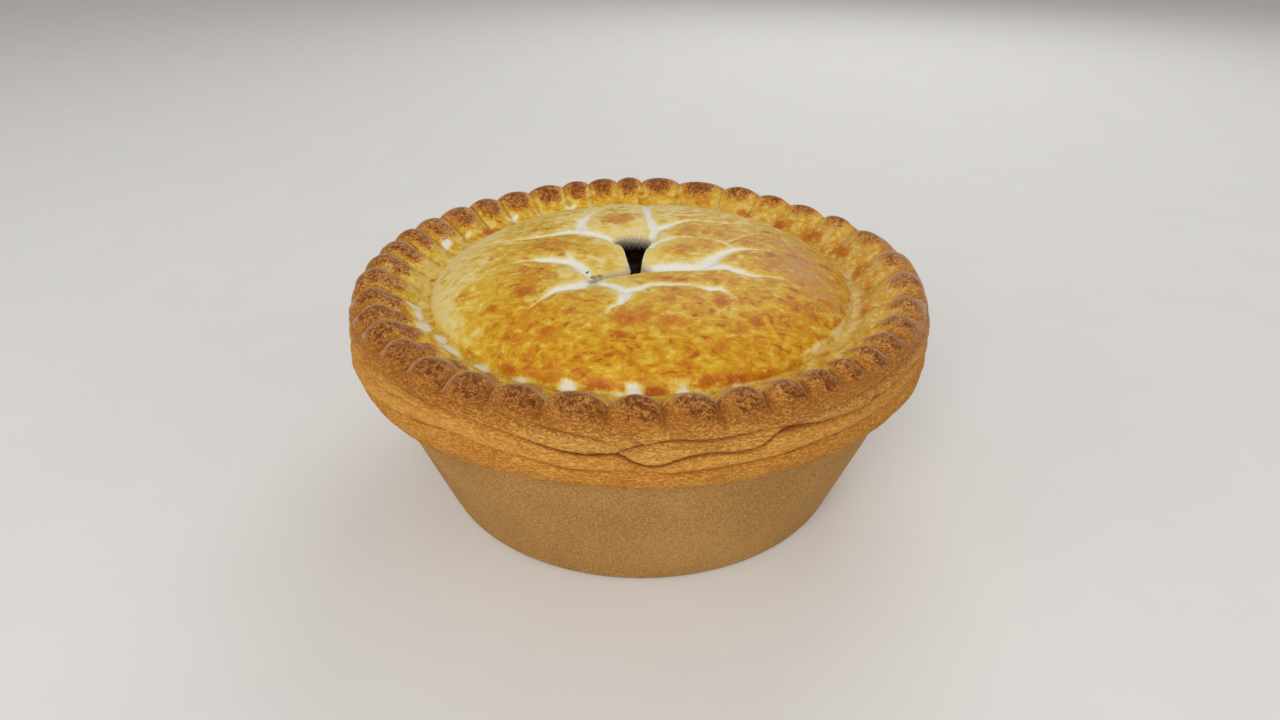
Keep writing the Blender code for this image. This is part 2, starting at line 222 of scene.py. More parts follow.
# A notch's tail, which runs on along the side: (degrees past the notch, height, strength).
NOTCH_TAIL = ((-1.0, 46.6, 0.0), (0.6, 45.7, 0.4), (4.0, 44.5, 0.45), (8.0, 43.5, 0.25), (11.0, 43.1, 0.0))
TAILED_NOTCHES = (158.7, 174.6, 192.0, 207.5, 216.0, 225.0, 234.5, 243.5, 283.0, 299.0)
CASE_FOLDS = (
    (
        (0, 36.8, 0.5), (25, 37.6, 0.4), (50, 36.9, 0.6), (75, 37.8, 0.4), (100, 37.2, 0.5),
        (125, 36.6, 0.6), (150, 37.7, 0.4), (175, 37.1, 0.5), (200, 36.2, 0.5), (216, 36.5, 0.6),
        (223, 37.4, 0.8), (228, 38.1, 0.9), (233, 38.6, 0.9), (238, 39.3, 0.9), (241, 39.2, 0.9),
        (244, 38.5, 0.8), (248, 37.9, 0.6), (252, 37.8, 0.5), (255, 37.3, 0.6), (258, 36.8, 0.7),
        (264, 36.8, 0.5), (267, 37.0, 0.2), (271, 36.8, 0.2), (274, 36.5, 0.5), (281, 37.0, 0.6),
        (289, 37.4, 0.7), (298, 37.9, 0.8), (306, 37.9, 0.6), (314, 38.2, 0.5), (322, 38.6, 0.5),
        (330, 38.4, 0.3), (345, 37.2, 0.4),
    ),
    (
        (0, 39.0, 0.0), (110, 39.0, 0.0), (140, 39.2, 0.4), (170, 38.8, 0.3), (205, 40.2, 0.3),
        (216, 40.7, 0.3), (222, 40.6, 0.5), (229, 41.6, 0.8), (233, 41.2, 0.3), (236, 41.0, 0.0),
        (283, 38.4, 0.0), (292, 39.4, 0.0), (350, 38.8, 0.0),
    ),
)
# Marks on the rim's side: (angle in degrees, height, half length, half height, strength), in mm.
# A strength above 0 is a nick, cut in and darkened with painted shade, and below 0 a rust-red patch.
SIDE_MARKS = (
    (223.5, 40.3, 1.7, 0.35, 0.8), (228.3, 41.6, 1.8, 0.45, 1.0), (227.0, 40.1, 0.3, 1.0, 0.7),
    (313.0, 40.9, 1.8, 0.6, 1.0), (322.0, 44.3, 1.6, 0.3, 0.8), (262.0, 40.5, 3.5, 0.3, 0.6),
    (293.5, 41.6, 2.6, 0.8, -0.9), (296.0, 37.5, 3.2, 0.5, -0.9), (302.0, 37.7, 2.5, 0.6, -0.5),
    (279.0, 41.6, 4.0, 1.0, -0.35), (231.0, 38.8, 2.0, 0.8, -0.5), (74.0, 39.0, 3.0, 0.8, -0.6),
    (163.0, 41.5, 2.5, 0.7, -0.6), (118.0, 40.6, 1.6, 0.4, 0.7), (24.0, 41.6, 2.0, 0.4, 0.6),
)
# How deep the notches between crimps are: (angle in degrees, share).
NOTCH_SHARE = (
    (0, 0.75), (40, 0.65), (75, 0.5), (105, 0.5), (150, 0.75), (200, 0.9), (235, 1.0), (285, 1.0),
    (300, 0.95), (330, 0.85),
)
# How far down the rim's side the notches run: (angle in degrees, height in millimetres).
NOTCH_FOOT = (
    (0, 45.8), (60, 45.6), (120, 45.2), (180, 44.6), (235, 44.4), (285, 44.2), (297, 44.8), (306, 45.6),
    (340, 46.0),
)
# How brown the crimps are: (angle in degrees, share).
CRIMP_BROWN = (
    (0, 0.95), (20, 0.95), (45, 1.0), (70, 1.15), (90, 1.25), (120, 1.1), (150, 0.95), (200, 0.95),
    (230, 1.0), (290, 1.0), (335, 0.95),
)
# How far in from the crest the crimps are brown: (angle in degrees, millimetres).
CRIMP_REACH = (
    (0, 4.2), (30, 4.2), (60, 4.6), (90, 5.2), (120, 5.5), (150, 6.0), (185, 6.5), (215, 6.7), (240, 6.0),
    (270, 5.2), (300, 5.2), (330, 4.4),
)
# How tan the trough and the crimps' feet are: (angle in degrees, share).
TROUGH_TAN = ((0, 0.7), (30, 0.55), (60, 0.4), (90, 0.2), (115, 0.0), (300, 0.0), (325, 0.3), (345, 0.65))

# Marks on the lid: (x, y, half width, strength) in millimetres, scorched where the glaze blistered.
SCORCH_SPOTS = (
    (-22.2, -19.8, 1.7, 1.0), (-27.6, -23.3, 1.0, 0.8), (-27.0, -16.5, 0.7, 0.7), (-23.5, -11.1, 2.2, 0.55),
    (-17.4, -14.2, 1.3, 0.6), (-31.0, -3.0, 1.2, 0.5), (-34.6, -16.1, 1.5, 0.5), (-17.1, -32.4, 1.5, 0.75),
    (-20.4, -26.6, 1.5, 0.55), (-12.9, -27.6, 1.2, 0.7), (-28.3, -28.5, 1.2, 0.4), (-23.3, -29.2, 1.0, 0.5),
    (-18.4, -1.4, 0.8, 0.6), (-17.3, 2.0, 1.4, 0.5), (-23.4, 11.2, 1.0, 0.5), (-2.8, -30.6, 2.0, 0.9),
    (0.6, -30.1, 1.2, 0.75), (5.5, -31.4, 1.5, 0.7), (14.8, -24.7, 1.3, 1.0), (21.2, -29.3, 1.2, 1.0),
    (18.0, -31.6, 1.1, 0.6), (13.8, -36.1, 1.3, 0.5), (18.3, -36.8, 1.6, 0.5), (-22.7, -34.7, 1.4, 0.4),
    (-19.7, -36.2, 1.0, 0.4), (21.5, -33.7, 1.3, 0.5), (-15.6, -39.7, 2.0, 0.5), (32.3, -23.1, 1.5, 0.8),
    (20.6, -27.2, 1.0, 0.5), (10.3, 9.8, 1.4, 0.55), (5.2, -23.3, 1.3, 0.5), (28.1, -21.8, 1.2, 0.5),
    (36.5, -17.8, 1.3, 0.5), (26.2, -6.3, 1.8, 0.4), (17.5, 6.2, 1.0, 0.4), (8.9, -1.0, 2.2, 0.35),
    (12.8, -15.7, 1.4, 0.4), (-6.6, 15.6, 2.6, 0.4), (-3.6, 18.6, 1.6, 0.55), (9.3, 13.2, 1.6, 0.4),
)
# The middles of the puffed leaves, which are baked further: (x, y, reach, strength) in millimetres.
BAKED_HEARTS = (
    (8.9, -1.5, 3.4, 0.32), (10.6, 10.0, 3.8, 0.26), (-5.0, 17.5, 4.2, 0.34), (27.0, -5.0, 4.5, 0.2),
    (13.5, -15.3, 4.0, 0.2), (-17.0, 1.0, 4.5, 0.16), (-20.0, -13.0, 5.0, 0.15), (3.0, -14.2, 4.0, 0.15),
    (12.0, 17.5, 4.0, 0.2), (21.0, 6.0, 4.0, 0.18),
)
# Burnt flecks on the lid: (x, y, half length, half width) in millimetres.
BURNT_FLECKS = (
    (-16.3, 5.7, 0.7, 0.45), (27.5, 11.8, 1.3, 0.5), (-6.9, 24.9, 0.7, 0.6), (-4.6, 26.9, 0.6, 0.6),
    (-18.5, -1.5, 0.5, 0.25), (-10.7, -10.5, 0.5, 0.4), (-9.3, -12.2, 0.9, 0.7), (-8.1, -11.6, 0.8, 0.7),
    (-8.9, -13.4, 0.6, 0.6),
)
# The tan haze at the lid's right: (x, y, half width) in millimetres.
TAN_HAZE = ((30.0, -8.5, 3.6), (35.0, -10.5, 4.2), (37.0, -16.5, 3.6), (33.5, -2.5, 3.4), (31.5, 4.0, 3.0))

# Marks in the trough: (angle in degrees, radius, half length, half width, strength), the rest in mm.
# A strength below 0 is bare floury dough, and above 0 is pooled glaze baked red-brown.
TROUGH_MARKS = (
    (253.5, 44.5, 1.8, 0.9, -1.0), (268.3, 44.4, 1.6, 1.0, -1.0), (265.5, 44.6, 1.8, 0.5, -0.8),
    (279.3, 44.6, 1.5, 0.8, -1.0), (279.0, 43.2, 2.2, 0.35, -0.35), (291.5, 45.0, 1.4, 0.9, -0.8),
    (242.0, 44.8, 1.9, 0.7, -0.9), (230.8, 45.2, 2.1, 1.1, -1.0), (219.5, 45.3, 3.6, 1.0, -1.0),
    (212.5, 45.1, 2.6, 0.9, -1.0), (204.5, 46.3, 2.5, 1.2, -1.0), (206.0, 47.2, 1.5, 1.1, -0.8),
    (194.8, 47.3, 2.0, 1.6, -1.0), (198.0, 46.6, 2.2, 0.9, -0.9),
    (318.0, 43.9, 6.0, 0.6, -0.5), (330.0, 43.9, 6.5, 0.6, -0.6), (343.0, 43.9, 7.0, 0.55, -0.55),
    (357.0, 43.9, 7.0, 0.55, -0.6), (11.0, 43.9, 7.0, 0.5, -0.5), (25.0, 43.9, 6.0, 0.5, -0.45),
    (157, 49.0, 1.8, 1.2, -1.0), (148, 48.6, 1.4, 0.7, -0.7), (131, 48.8, 1.8, 0.8, -1.0),
    (112, 48.6, 1.8, 0.7, -1.0), (122, 48.0, 1.5, 0.6, -0.6), (170, 48.0, 1.2, 0.6, -0.5),
    (260.8, 43.7, 3.2, 0.5, 1.0), (273.2, 44.3, 2.9, 0.55, 1.0), (285.5, 43.6, 2.8, 0.6, 1.0),
    (292.0, 43.9, 3.6, 0.55, 1.0), (299.0, 44.3, 3.6, 0.4, 0.8), (308.0, 44.5, 4.5, 0.3, 0.6),
    (318.5, 45.4, 2.2, 0.6, 0.6), (238.0, 43.9, 2.6, 0.5, 0.8), (245.5, 43.8, 2.4, 0.45, 0.6),
    (344.0, 46.6, 3.0, 0.9, 0.7), (141, 47.6, 2.4, 0.9, 0.9), (44, 48.0, 3.6, 1.6, 0.7),
    (32, 48.2, 4.0, 1.7, 0.72), (19, 48.2, 4.0, 1.7, 0.68), (6, 48.0, 3.4, 1.5, 0.62),
    (356, 48.0, 2.4, 1.0, 0.5), (57, 48.4, 2.6, 1.2, 0.5), (70, 49.4, 3.0, 1.0, 0.35),
    (90, 49.6, 3.0, 1.0, 0.3), (176, 45.4, 0.8, 0.6, 0.8), (225, 44.1, 3.0, 0.35, 0.4),
    (212, 44.2, 3.5, 0.35, 0.35), (196, 44.3, 4.5, 0.35, 0.3),
)

# How far a fold's roll stands out above its line, and how deep it starts below, in millimetres.
FOLD_OUT = 1.3
FOLD_IN = 1.05
# How dark the painted shade in the wrinkles is, as a share of a fold's line, and how deep the nicks are
# cut.
WORM_SHARE = 0.3
NICK_DEPTH = 0.3 * MM
# Uneven dough, as (height, size) of noise: on the lid, on the crimps and on the case's wall.
LUMPS = (0.12 * MM, 3.0 * MM)
CRAGS = (0.16 * MM, 2.2 * MM)
SWAY = (0.12 * MM, 14.0 * MM)

# Steps round the pie and over its dome.
COLUMNS_PER_CRIMP = 16
COLUMNS = CRIMPS * COLUMNS_PER_CRIMP
DISC_SIDE = COLUMNS // 4
GRAVY_COLUMNS = 240

# Scale of the blotches in the glaze.
MOTTLE_SCALE = 420.0
# Names of sockets: the colours from raw to burnt, and the folded side's masks (painted shade in the
# creases, rust, and painted light on the rolls' tops) and colours.
BAKE_STAGES = ("Floury", "Pale", "Gold", "Amber", "Scorched")
FOLD_MASKS = ("Crease", "Rust", "Roll")
FOLD_COLOURS = {
    "Light": "fold_light", "Dark": "fold_dark", "Crease Colour": "crease", "Rust Colour": "rust",
}

# The stage: half the floor's side in metres, the sensor in millimetres, and a shift of one pixel.
FLOOR_HALF = 4.0
SENSOR_WIDTH = 36.0
SIDE_SHIFT = -1.0 / 1280.0
SKY_COLOUR = (1.0, 0.97, 0.93, 1.0)
FLOOR_COLOURS = ((0.76, 0.75, 0.73, 1.0), (0.8, 0.79, 0.77, 1.0))
# The square lights: (name, setting of its power, side, place, height it aims at), in metres.
LIGHTS = (
    ("key_light", "key_power", 0.55, (-0.16, -0.77, 0.54), 0.03),
    ("back_light", "back_power", 0.5, (0.2, 0.6, 0.5), 0.04),
    ("left_light", "side_power", 0.5, (-0.75, -0.3, 0.3), 0.03),
    ("right_light", "side_power", 0.5, (0.75, -0.3, 0.3), 0.03),
)


# ---------------------------------------------------------------- number helpers


def smoothstep(low, high, value):
    """0 below low, 1 above high, and an S curve between; low may be the larger of the two."""
    share = np.clip((value - low) / (high - low), 0.0, 1.0)
    return share * share * (3.0 - 2.0 * share)


def waves(angle, terms):
    """The sum of sine waves round the pie."""
    return sum(size * np.sin(times * angle + math.radians(turn)) for size, times, turn in terms)


def around(angle, line, column=1):
    """A value read round the pie from rows that start with degrees: straight between, corners eased."""
    table = np.array(line, float)
    places, values = table[:, 0], table[:, column]
    degrees = np.degrees(angle)
    spread = (-1.2, -0.6, 0.0, 0.6, 1.2)
    return sum(np.interp(degrees + away, places, values, period=360.0) for away in spread) / len(spread)


def turn_from(angle, place):
    """The turn from a place round the pie to an angle, in radians, the short way round."""
    return np.angle(np.exp(1j * (angle - place)))


def stacked(x, y, z):
    """Places from three arrays of coordinates, which are spread to one shape."""
    return np.stack(np.broadcast_arrays(x, y, z), axis=-1)


def lattice_noise(points, size, seed):
    """Smooth noise from -1 to 1: random values on a cubic lattice of this spacing, eased between."""
    side = 64
    lattice = np.random.default_rng(seed).uniform(-1.0, 1.0, (side, side, side))
    scaled = points / size + 0.37
    cell = np.floor(scaled).astype(int)
    share = scaled - cell
    share = share * share * (3.0 - 2.0 * share)
    total = np.zeros(points.shape[:-1])
    for corner in np.ndindex(2, 2, 2):
        weight = np.prod(np.where(corner, share, 1.0 - share), axis=-1)
        x, y, z = np.moveaxis((cell + corner) % side, -1, 0)
        total += weight * lattice[x, y, z]
    return total


def layered_noise(points, size, seed, layers=3):
    """Lattice noise with finer and fainter layers on it, each half the size of the last."""
    return sum(lattice_noise(points, size / 2**i, seed + i) / 2**i for i in range(layers)) / 1.6


def smooth_path(points, pitch):
    """A Catmull-Rom curve through the points, resampled to even steps of about one pitch."""
    knots = np.array(points, float)
    ends = np.vstack([2 * knots[0] - knots[1], knots, 2 * knots[-1] - knots[-2]])
    share = np.linspace(0.0, 1.0, 40, endpoint=False)[:, None]
    pieces = []
    for before, start, end, after in zip(ends, ends[1:], ends[2:], ends[3:]):
        bend = 2 * before - 5 * start + 4 * end - after
        twist = 3 * (start - end) + after - before
        pieces.append(start + 0.5 * ((end - before) * share + bend * share**2 + twist * share**3))
    fine = np.vstack(pieces + [knots[-1:]])
    travelled = np.concatenate([[0.0], np.cumsum(np.hypot(*np.diff(fine, axis=0).T))])
    steps = np.linspace(0.0, travelled[-1], max(2, round(travelled[-1] / pitch) + 1))
    return np.stack([np.interp(steps, travelled, axis) for axis in fine.T], axis=-1)


def distance_to_line(x, y, line):
    """Distance to a line of (x, y, half width) points, and the half width at the nearest place."""
    nearest = np.full(x.shape, np.inf)
    width = np.zeros(x.shape)
    for (ax, ay, aw), (bx, by, bw) in zip(line, line[1:]):
        run = np.array((bx - ax, by - ay))
        share = np.clip(((x - ax) * run[0] + (y - ay) * run[1]) / (run @ run), 0.0, 1.0)
        away = np.hypot(x - ax - share * run[0], y - ay - share * run[1])
        closer = away < nearest
        nearest = np.where(closer, away, nearest)
        width = np.where(closer, aw + share * (bw - aw), width)
    return nearest, width


# ---------------------------------------------------------------- shapes of the pie


def crimp_angle(phase):
    """The angle of a place counted in crimps, where whole numbers are the notches."""
    turns = np.arange(-1, 3)[:, None]
    edges = (np.radians(CRIMP_EDGES) + math.tau * turns).ravel()
    return np.interp(phase, np.arange(edges.size) - CRIMPS, edges)


def crimp_bulge(phase):
    """0 in the notch between two crimps, and about 1 on top: a power of a sine, so lobes are full."""
    heights = np.random.default_rng(CRIMP_SEED).uniform(0.88, 1.1, CRIMPS)
    share = np.mod(phase + 1e-6, 1.0)
    lobe = np.floor(phase + 1e-6).astype(int) % CRIMPS
    return heights[lobe] * np.sin(math.pi * share).clip(0.0) ** 0.6


def crimp_patch(phase, angle, radius, height):
    """How brown a place on the crimps is: an oval on each lobe, which leans to one side going down."""
    down = np.clip((CREST_HEIGHT - height) / (3.0 * MM), 0.0, 1.0) * (radius > CREST_RADIUS)
    across = np.abs(np.mod(phase + 1e-6, 1.0) - 0.54 - 0.2 * down)
    oval = 1.0 - smoothstep(0.18, 0.46, across)
    start = CREST_RADIUS - around(angle, CRIMP_REACH) * MM
    inner = smoothstep(start - 0.2 * MM, start + 3.6 * MM, radius + 1.8 * MM * (oval - 0.6))
    outer = np.where(radius > CREST_RADIUS, smoothstep(44.6 * MM, 47.2 * MM, height), 1.0)
    return inner * outer * (0.32 + 0.68 * oval) * around(angle, CRIMP_BROWN)


def dome_height(radius):
    """The smooth lid inside the trough: nearly flat, with steep edges."""
    edge = TROUGH_HEIGHT + 1.5 * MM
    rounding = 0.5 * MM * smoothstep(DOME_RADIUS - 1.5 * MM, DOME_RADIUS, radius)
    return DOME_HEIGHT - (DOME_HEIGHT - edge) * (radius / DOME_RADIUS) ** 4.3 - rounding


def sink_depth(x, y):
    """How far the lid sags beside its tear."""
    return sum(
        depth * MM * np.exp(-((x / MM - cx) ** 2 + (y / MM - cy) ** 2) / (2.0 * reach**2))
        for cx, cy, depth, reach in SINKS
    )


def under_lid(radius):
    """Height of the lid's underside: level where it lies on the rim, and arched under the dome."""
    rise = DOME_HEIGHT - LID_THICKNESS - SEAT_HEIGHT
    return SEAT_HEIGHT + rise * smoothstep(DOME_RADIUS, 0.3 * DOME_RADIUS, radius)


def valleys(x, y):
    """(depth share, paleness, halo) of the valleys at places in millimetres: bells over their width."""
    depth = np.zeros(x.shape)
    pale = np.zeros(x.shape)
    halo = np.zeros(x.shape)
    for line in VALLEYS:
        away, width = distance_to_line(x, y, line)
        depth = np.maximum(depth, width * np.exp(-away / (1.1 * width + 0.3)))
        share = np.minimum(0.15 + 0.85 * width, 1.0)
        pale = np.maximum(pale, share * np.exp(-((away / (1.3 * width + 0.15)) ** 1.5)))
        halo = np.maximum(halo, share * np.exp(-away / (1.2 * width + 1.0)))
    return depth, pale, halo


def vent_curl(y, edge):
    """How far the lid turns down at the tear: bells over the distance from it, deeper at its back."""
    far = smoothstep(3.0 * MM, 7.0 * MM, y)
    return 0.35 * MM * np.exp(-edge / (0.7 * MM)) + 0.5 * MM * far * np.exp(-edge / (1.3 * MM))


def lip_relief(x, y):
    """The lid's curl at its crisp front edge, and the drop behind it, at places in millimetres."""
    line_x, line_y, line_drop = np.array(FRONT_LIP).T
    away = y - np.interp(x, line_x, line_y)
    drop = np.interp(x, line_x, line_drop)
    behind = smoothstep(0.0, 0.5, away)
    curl = 0.35 * np.exp(np.minimum(away, 0.0) / 1.3) * (1.0 - behind)
    return drop * (curl - behind * np.exp(-np.maximum(away, 0.0) / LIP_REACH)) * MM


def vent_outline():
    """The tear's outline as a closed smooth curve, in metres."""
    overlapping = VENT_OUTLINE[-2:] + VENT_OUTLINE + VENT_OUTLINE[:3]
    curve = smooth_path(np.array(overlapping) * MM, 0.25 * MM)
    start = np.argmin(np.hypot(*(curve[: len(curve) // 2] - np.array(VENT_OUTLINE[0]) * MM).T))
    gaps = np.hypot(*(curve - curve[start]).T)
    gaps[: start + len(curve) // 2] = np.inf
    return curve[start : int(np.argmin(gaps))]


def distance_to_vent(x, y):
    """Distance from the tear's edge, in metres, for places outside it."""
    outline = vent_outline()
    nearest = np.full(x.shape, np.inf)
    for px, py in outline[::2]:
        nearest = np.minimum(nearest, np.hypot(x - px, y - py))
    return nearest


def rim_share(radius):
    """0 inside the seat of the lid and 1 outside it, so that the inner wall stays round."""
    return smoothstep(SHOULDER_RADIUS - WALL + 0.5 * MM, SHOULDER_RADIUS, radius)


def slump(angle):
    """1 at the back right, where the rim sags, and 0 away from it."""
    return np.exp(-((turn_from(angle, SLUMP_ANGLE) / SLUMP_SPREAD) ** 2))


def rim_offset(angle):
    """How far the rim's circle stands out or in."""
    return waves(angle, RIM_WAVES) - SLUMP_INWARD * slump(angle)


def fold_relief(angle, height, folds):
    """(offset, crease, roll) of folds.

    Above a fold's line the dough is a roll that comes out over the line within half a millimetre and
    goes back slowly, and below it the dough starts deep and swells. The crease mask is painted shade,
    a bell just below the line in the hollow, where it shows from above. The roll is the share of its
    full height, and the shader paints light on the roll's top with it.
    """
    offset = 0.0
    crease = 0.0
    roll_light = 0.0
    for fold in folds:
        away = (height - around(angle, fold) * MM) / MM
        strength = around(angle, fold, 2)
        above = away.clip(0.0)
        roll = FOLD_OUT * np.exp(-above / 2.0) * (1.0 - np.exp(-above / 0.4))
        hollow = FOLD_IN * np.exp(away.clip(max=0.0) / 1.3)
        side = smoothstep(-0.12, 0.12, away)
        offset = offset + strength * (side * roll - (1.0 - side) * hollow) * MM
        crease = np.maximum(crease, strength * np.exp(-(((away + 0.36) / 0.4) ** 2)))
        roll_light = np.maximum(roll_light, strength * side * (1.0 - np.exp(-above / 0.7)) * np.exp(-above / 2.4))
    return offset, crease, roll_light


def tail_folds():
    """The folds below the notches, each NOTCH_TAIL moved round to its notch."""
    return [
        [(notch + past, height, strength) for past, height, strength in NOTCH_TAIL]
        for notch in TAILED_NOTCHES
    ]


def side_masks(crease, nicks, worms, rust, roll, share):
    """The masks of the folded side, where the share says how far a place belongs to it."""
    # Painted shade in the creases, the nicks and the wrinkles, as one mask.
    lines = np.maximum(np.maximum(crease, nicks), WORM_SHARE * worms)
    return {"crease": lines * share, "rust": rust * share, "roll": roll * share}


def seam_lift(angle, radius):
    """How far the seam stands above or below its mean height, from nothing inside the case's wall."""
    lift = around(angle, SEAM_LINE) * MM - SEAM_HEIGHT
    return lift * smoothstep(SHOULDER_RADIUS - WALL, RIM_RADIUS - LIP, radius)


def wrinkles(points):
    """(offset, dent) of the worm-like wrinkles along the rim: dents where flattened noise nears 0."""
    away = np.abs(layered_noise(points * (1.0, 1.0, 3.4), 2.3 * MM, 17, 2))
    dent = 1.0 - smoothstep(0.0, 0.2, away)
    swell = layered_noise(points * (1.0, 1.0, 2.4), 6.0 * MM, 15)
    return (0.25 * swell - 0.15 * dent) * MM, dent


def side_marks(angle, height):
    """(nicks, rust) on the rim's side: soft ovals."""
    nicks = 0.0
    rust = 0.0
    for degrees, middle, length, width, strength in SIDE_MARKS:
        turn = turn_from(angle, math.radians(degrees)) * RIM_RADIUS / MM
        mark = np.exp(-((turn / length) ** 2) - ((height / MM - middle) / width) ** 2)
        if strength > 0:
            nicks = np.maximum(nicks, strength * mark)
        else:
            rust = np.maximum(rust, -strength * mark)
    return nicks, rust


def glaze_masks(x, y, edge, pale, halo):
    """(bake, pale, halo, scorch, tan) of the glaze, from the tables of marks on the lid.

    It takes the distance from the tear's edge, and the valleys' paleness and halo.
    """
    mx, my = x / MM, y / MM
    radius = np.hypot(mx, my)
    angle = np.arctan2(my, mx)
    flat = np.stack([x, y, np.zeros_like(x)], axis=-1)
    dome = 1.0 - smoothstep(43.5, 44.5, radius)
    pale = pale * dome
    # Browner at the front and the right, and paler at the back, round the tear and at the left.
    bake = 0.60 + 0.10 * layered_noise(flat, 9.0 * MM, 21)
    bake += 0.08 * smoothstep(-8.0, -30.0, my)
    bake -= 0.33 * smoothstep(0.0, 30.0, my) * dome
    bake += 0.06 * smoothstep(10.0, 30.0, mx) * dome
    bake -= 0.30 * np.exp(-((edge / (7.0 * MM)) ** 2))
    bake -= 0.40 * smoothstep(-22.0, -40.0, mx) * dome
    for heart_x, heart_y, reach, strength in BAKED_HEARTS:
        bake += strength * np.exp(-((mx - heart_x) ** 2 + (my - heart_y) ** 2) / reach**2)
    # Paler along the dome's foot, and in the trough.
    bake -= 0.10 * smoothstep(40.0, 43.5, radius) * smoothstep(-38.0, -20.0, my) * dome
    bake -= (0.22 - 0.06 * smoothstep(10.0, 40.0, my)) * (1.0 - dome)
    scorch = np.zeros(x.shape)
    for spot_x, spot_y, width, strength in SCORCH_SPOTS:
        away = np.hypot(mx - spot_x, my - spot_y)
        scorch = np.maximum(scorch, strength * np.exp(-((away / (1.35 * width)) ** 2)))
    tan = sum(np.exp(-((mx - a) ** 2 + (my - b) ** 2) / width**2) for a, b, width in TAN_HAZE)
    for degrees, middle, length, width, strength in TROUGH_MARKS:
        turn = turn_from(angle, math.radians(degrees))
        mark = np.exp(-((turn * middle / length) ** 2) - ((radius - middle) / width) ** 2)
        if strength < 0:
            pale = np.maximum(pale, -strength * mark)
        else:
            scorch = np.maximum(scorch, 1.15 * strength * mark)
    tan = np.minimum(tan, 1.0) * dome + around(angle, TROUGH_TAN) * (1.0 - dome)
    return bake, pale, halo * dome, scorch, tan


# ---------------------------------------------------------------- meshes


def ring_faces(loops):
    """Four-sided faces between loops of point numbers, which run anticlockwise and outwards."""
    ahead = np.roll(loops, -1, axis=1)
    return np.stack([loops[:-1], loops[1:], ahead[1:], ahead[:-1]], axis=-1).reshape(-1, 4)


def cap_faces(loop, pole, inward):
    """Three-sided faces that close a loop of point numbers to a pole."""
    ahead = np.roll(loop, -1)
    poles = np.full(loop.shape, pole)
    order = (loop, poles, ahead) if inward else (poles, loop, ahead)
    return np.stack(order, axis=-1)


def disc_places(side):
    """A square grid pressed into the unit disc, with its border's points at even angles."""
    even = math.sqrt(2.0) * np.sin(np.linspace(-1.0, 1.0, side + 1) * math.pi / 4.0)
    u, v = np.meshgrid(even, even)
    return u * np.sqrt(1.0 - v**2 / 2.0), v * np.sqrt(1.0 - u**2 / 2.0)


def disc_border(side):
    """Point numbers of the grid's border, anticlockwise from the corner at -45 degrees."""
    number = np.arange((side + 1) ** 2).reshape(side + 1, side + 1)
    return np.concatenate([number[:-1, -1], number[-1, :0:-1], number[:0:-1, 0], number[0, :-1]])


def closed_skin(rows, columns):
    """Faces of rows of loops, closed by a pole at each end; the two poles come after all the rows."""
    count = rows * columns
    loops = np.arange(count).reshape(rows, columns)
    first = cap_faces(loops[0], count, False).tolist()
    last = cap_faces(loops[-1], count + 1, True).tolist()
    return ring_faces(loops).tolist() + first + last


def flattened(points, masks):
    """A grid's points as one list, and its masks with a value for each of them."""
    shape = points.shape[:-1]
    flat = {label: np.broadcast_to(values, shape).ravel() for label, values in masks.items()}
    return points.reshape(-1, 3), flat


def new_object(name, data):
    """An object that is linked to the scene."""
    made = bpy.data.objects.new(name, data)
    bpy.context.scene.collection.objects.link(made)
    return made


def new_piece(name, points, faces, masks, material):
    """A mesh object of points in metres round the pie's axis, with its masks as point attributes."""
    mesh = bpy.data.meshes.new(name)
    placed = points + np.array((*STAND, 0.0))
    mesh.from_pydata(placed, [], faces)
    for label, values in masks.items():
        layer = mesh.attributes.new(label, "FLOAT", "POINT")
        layer.data.foreach_set("value", np.ascontiguousarray(values, np.float32).ravel())
    mesh.materials.append(material)
    mesh.shade_smooth()
    mesh.update()
    return new_object(name, mesh)


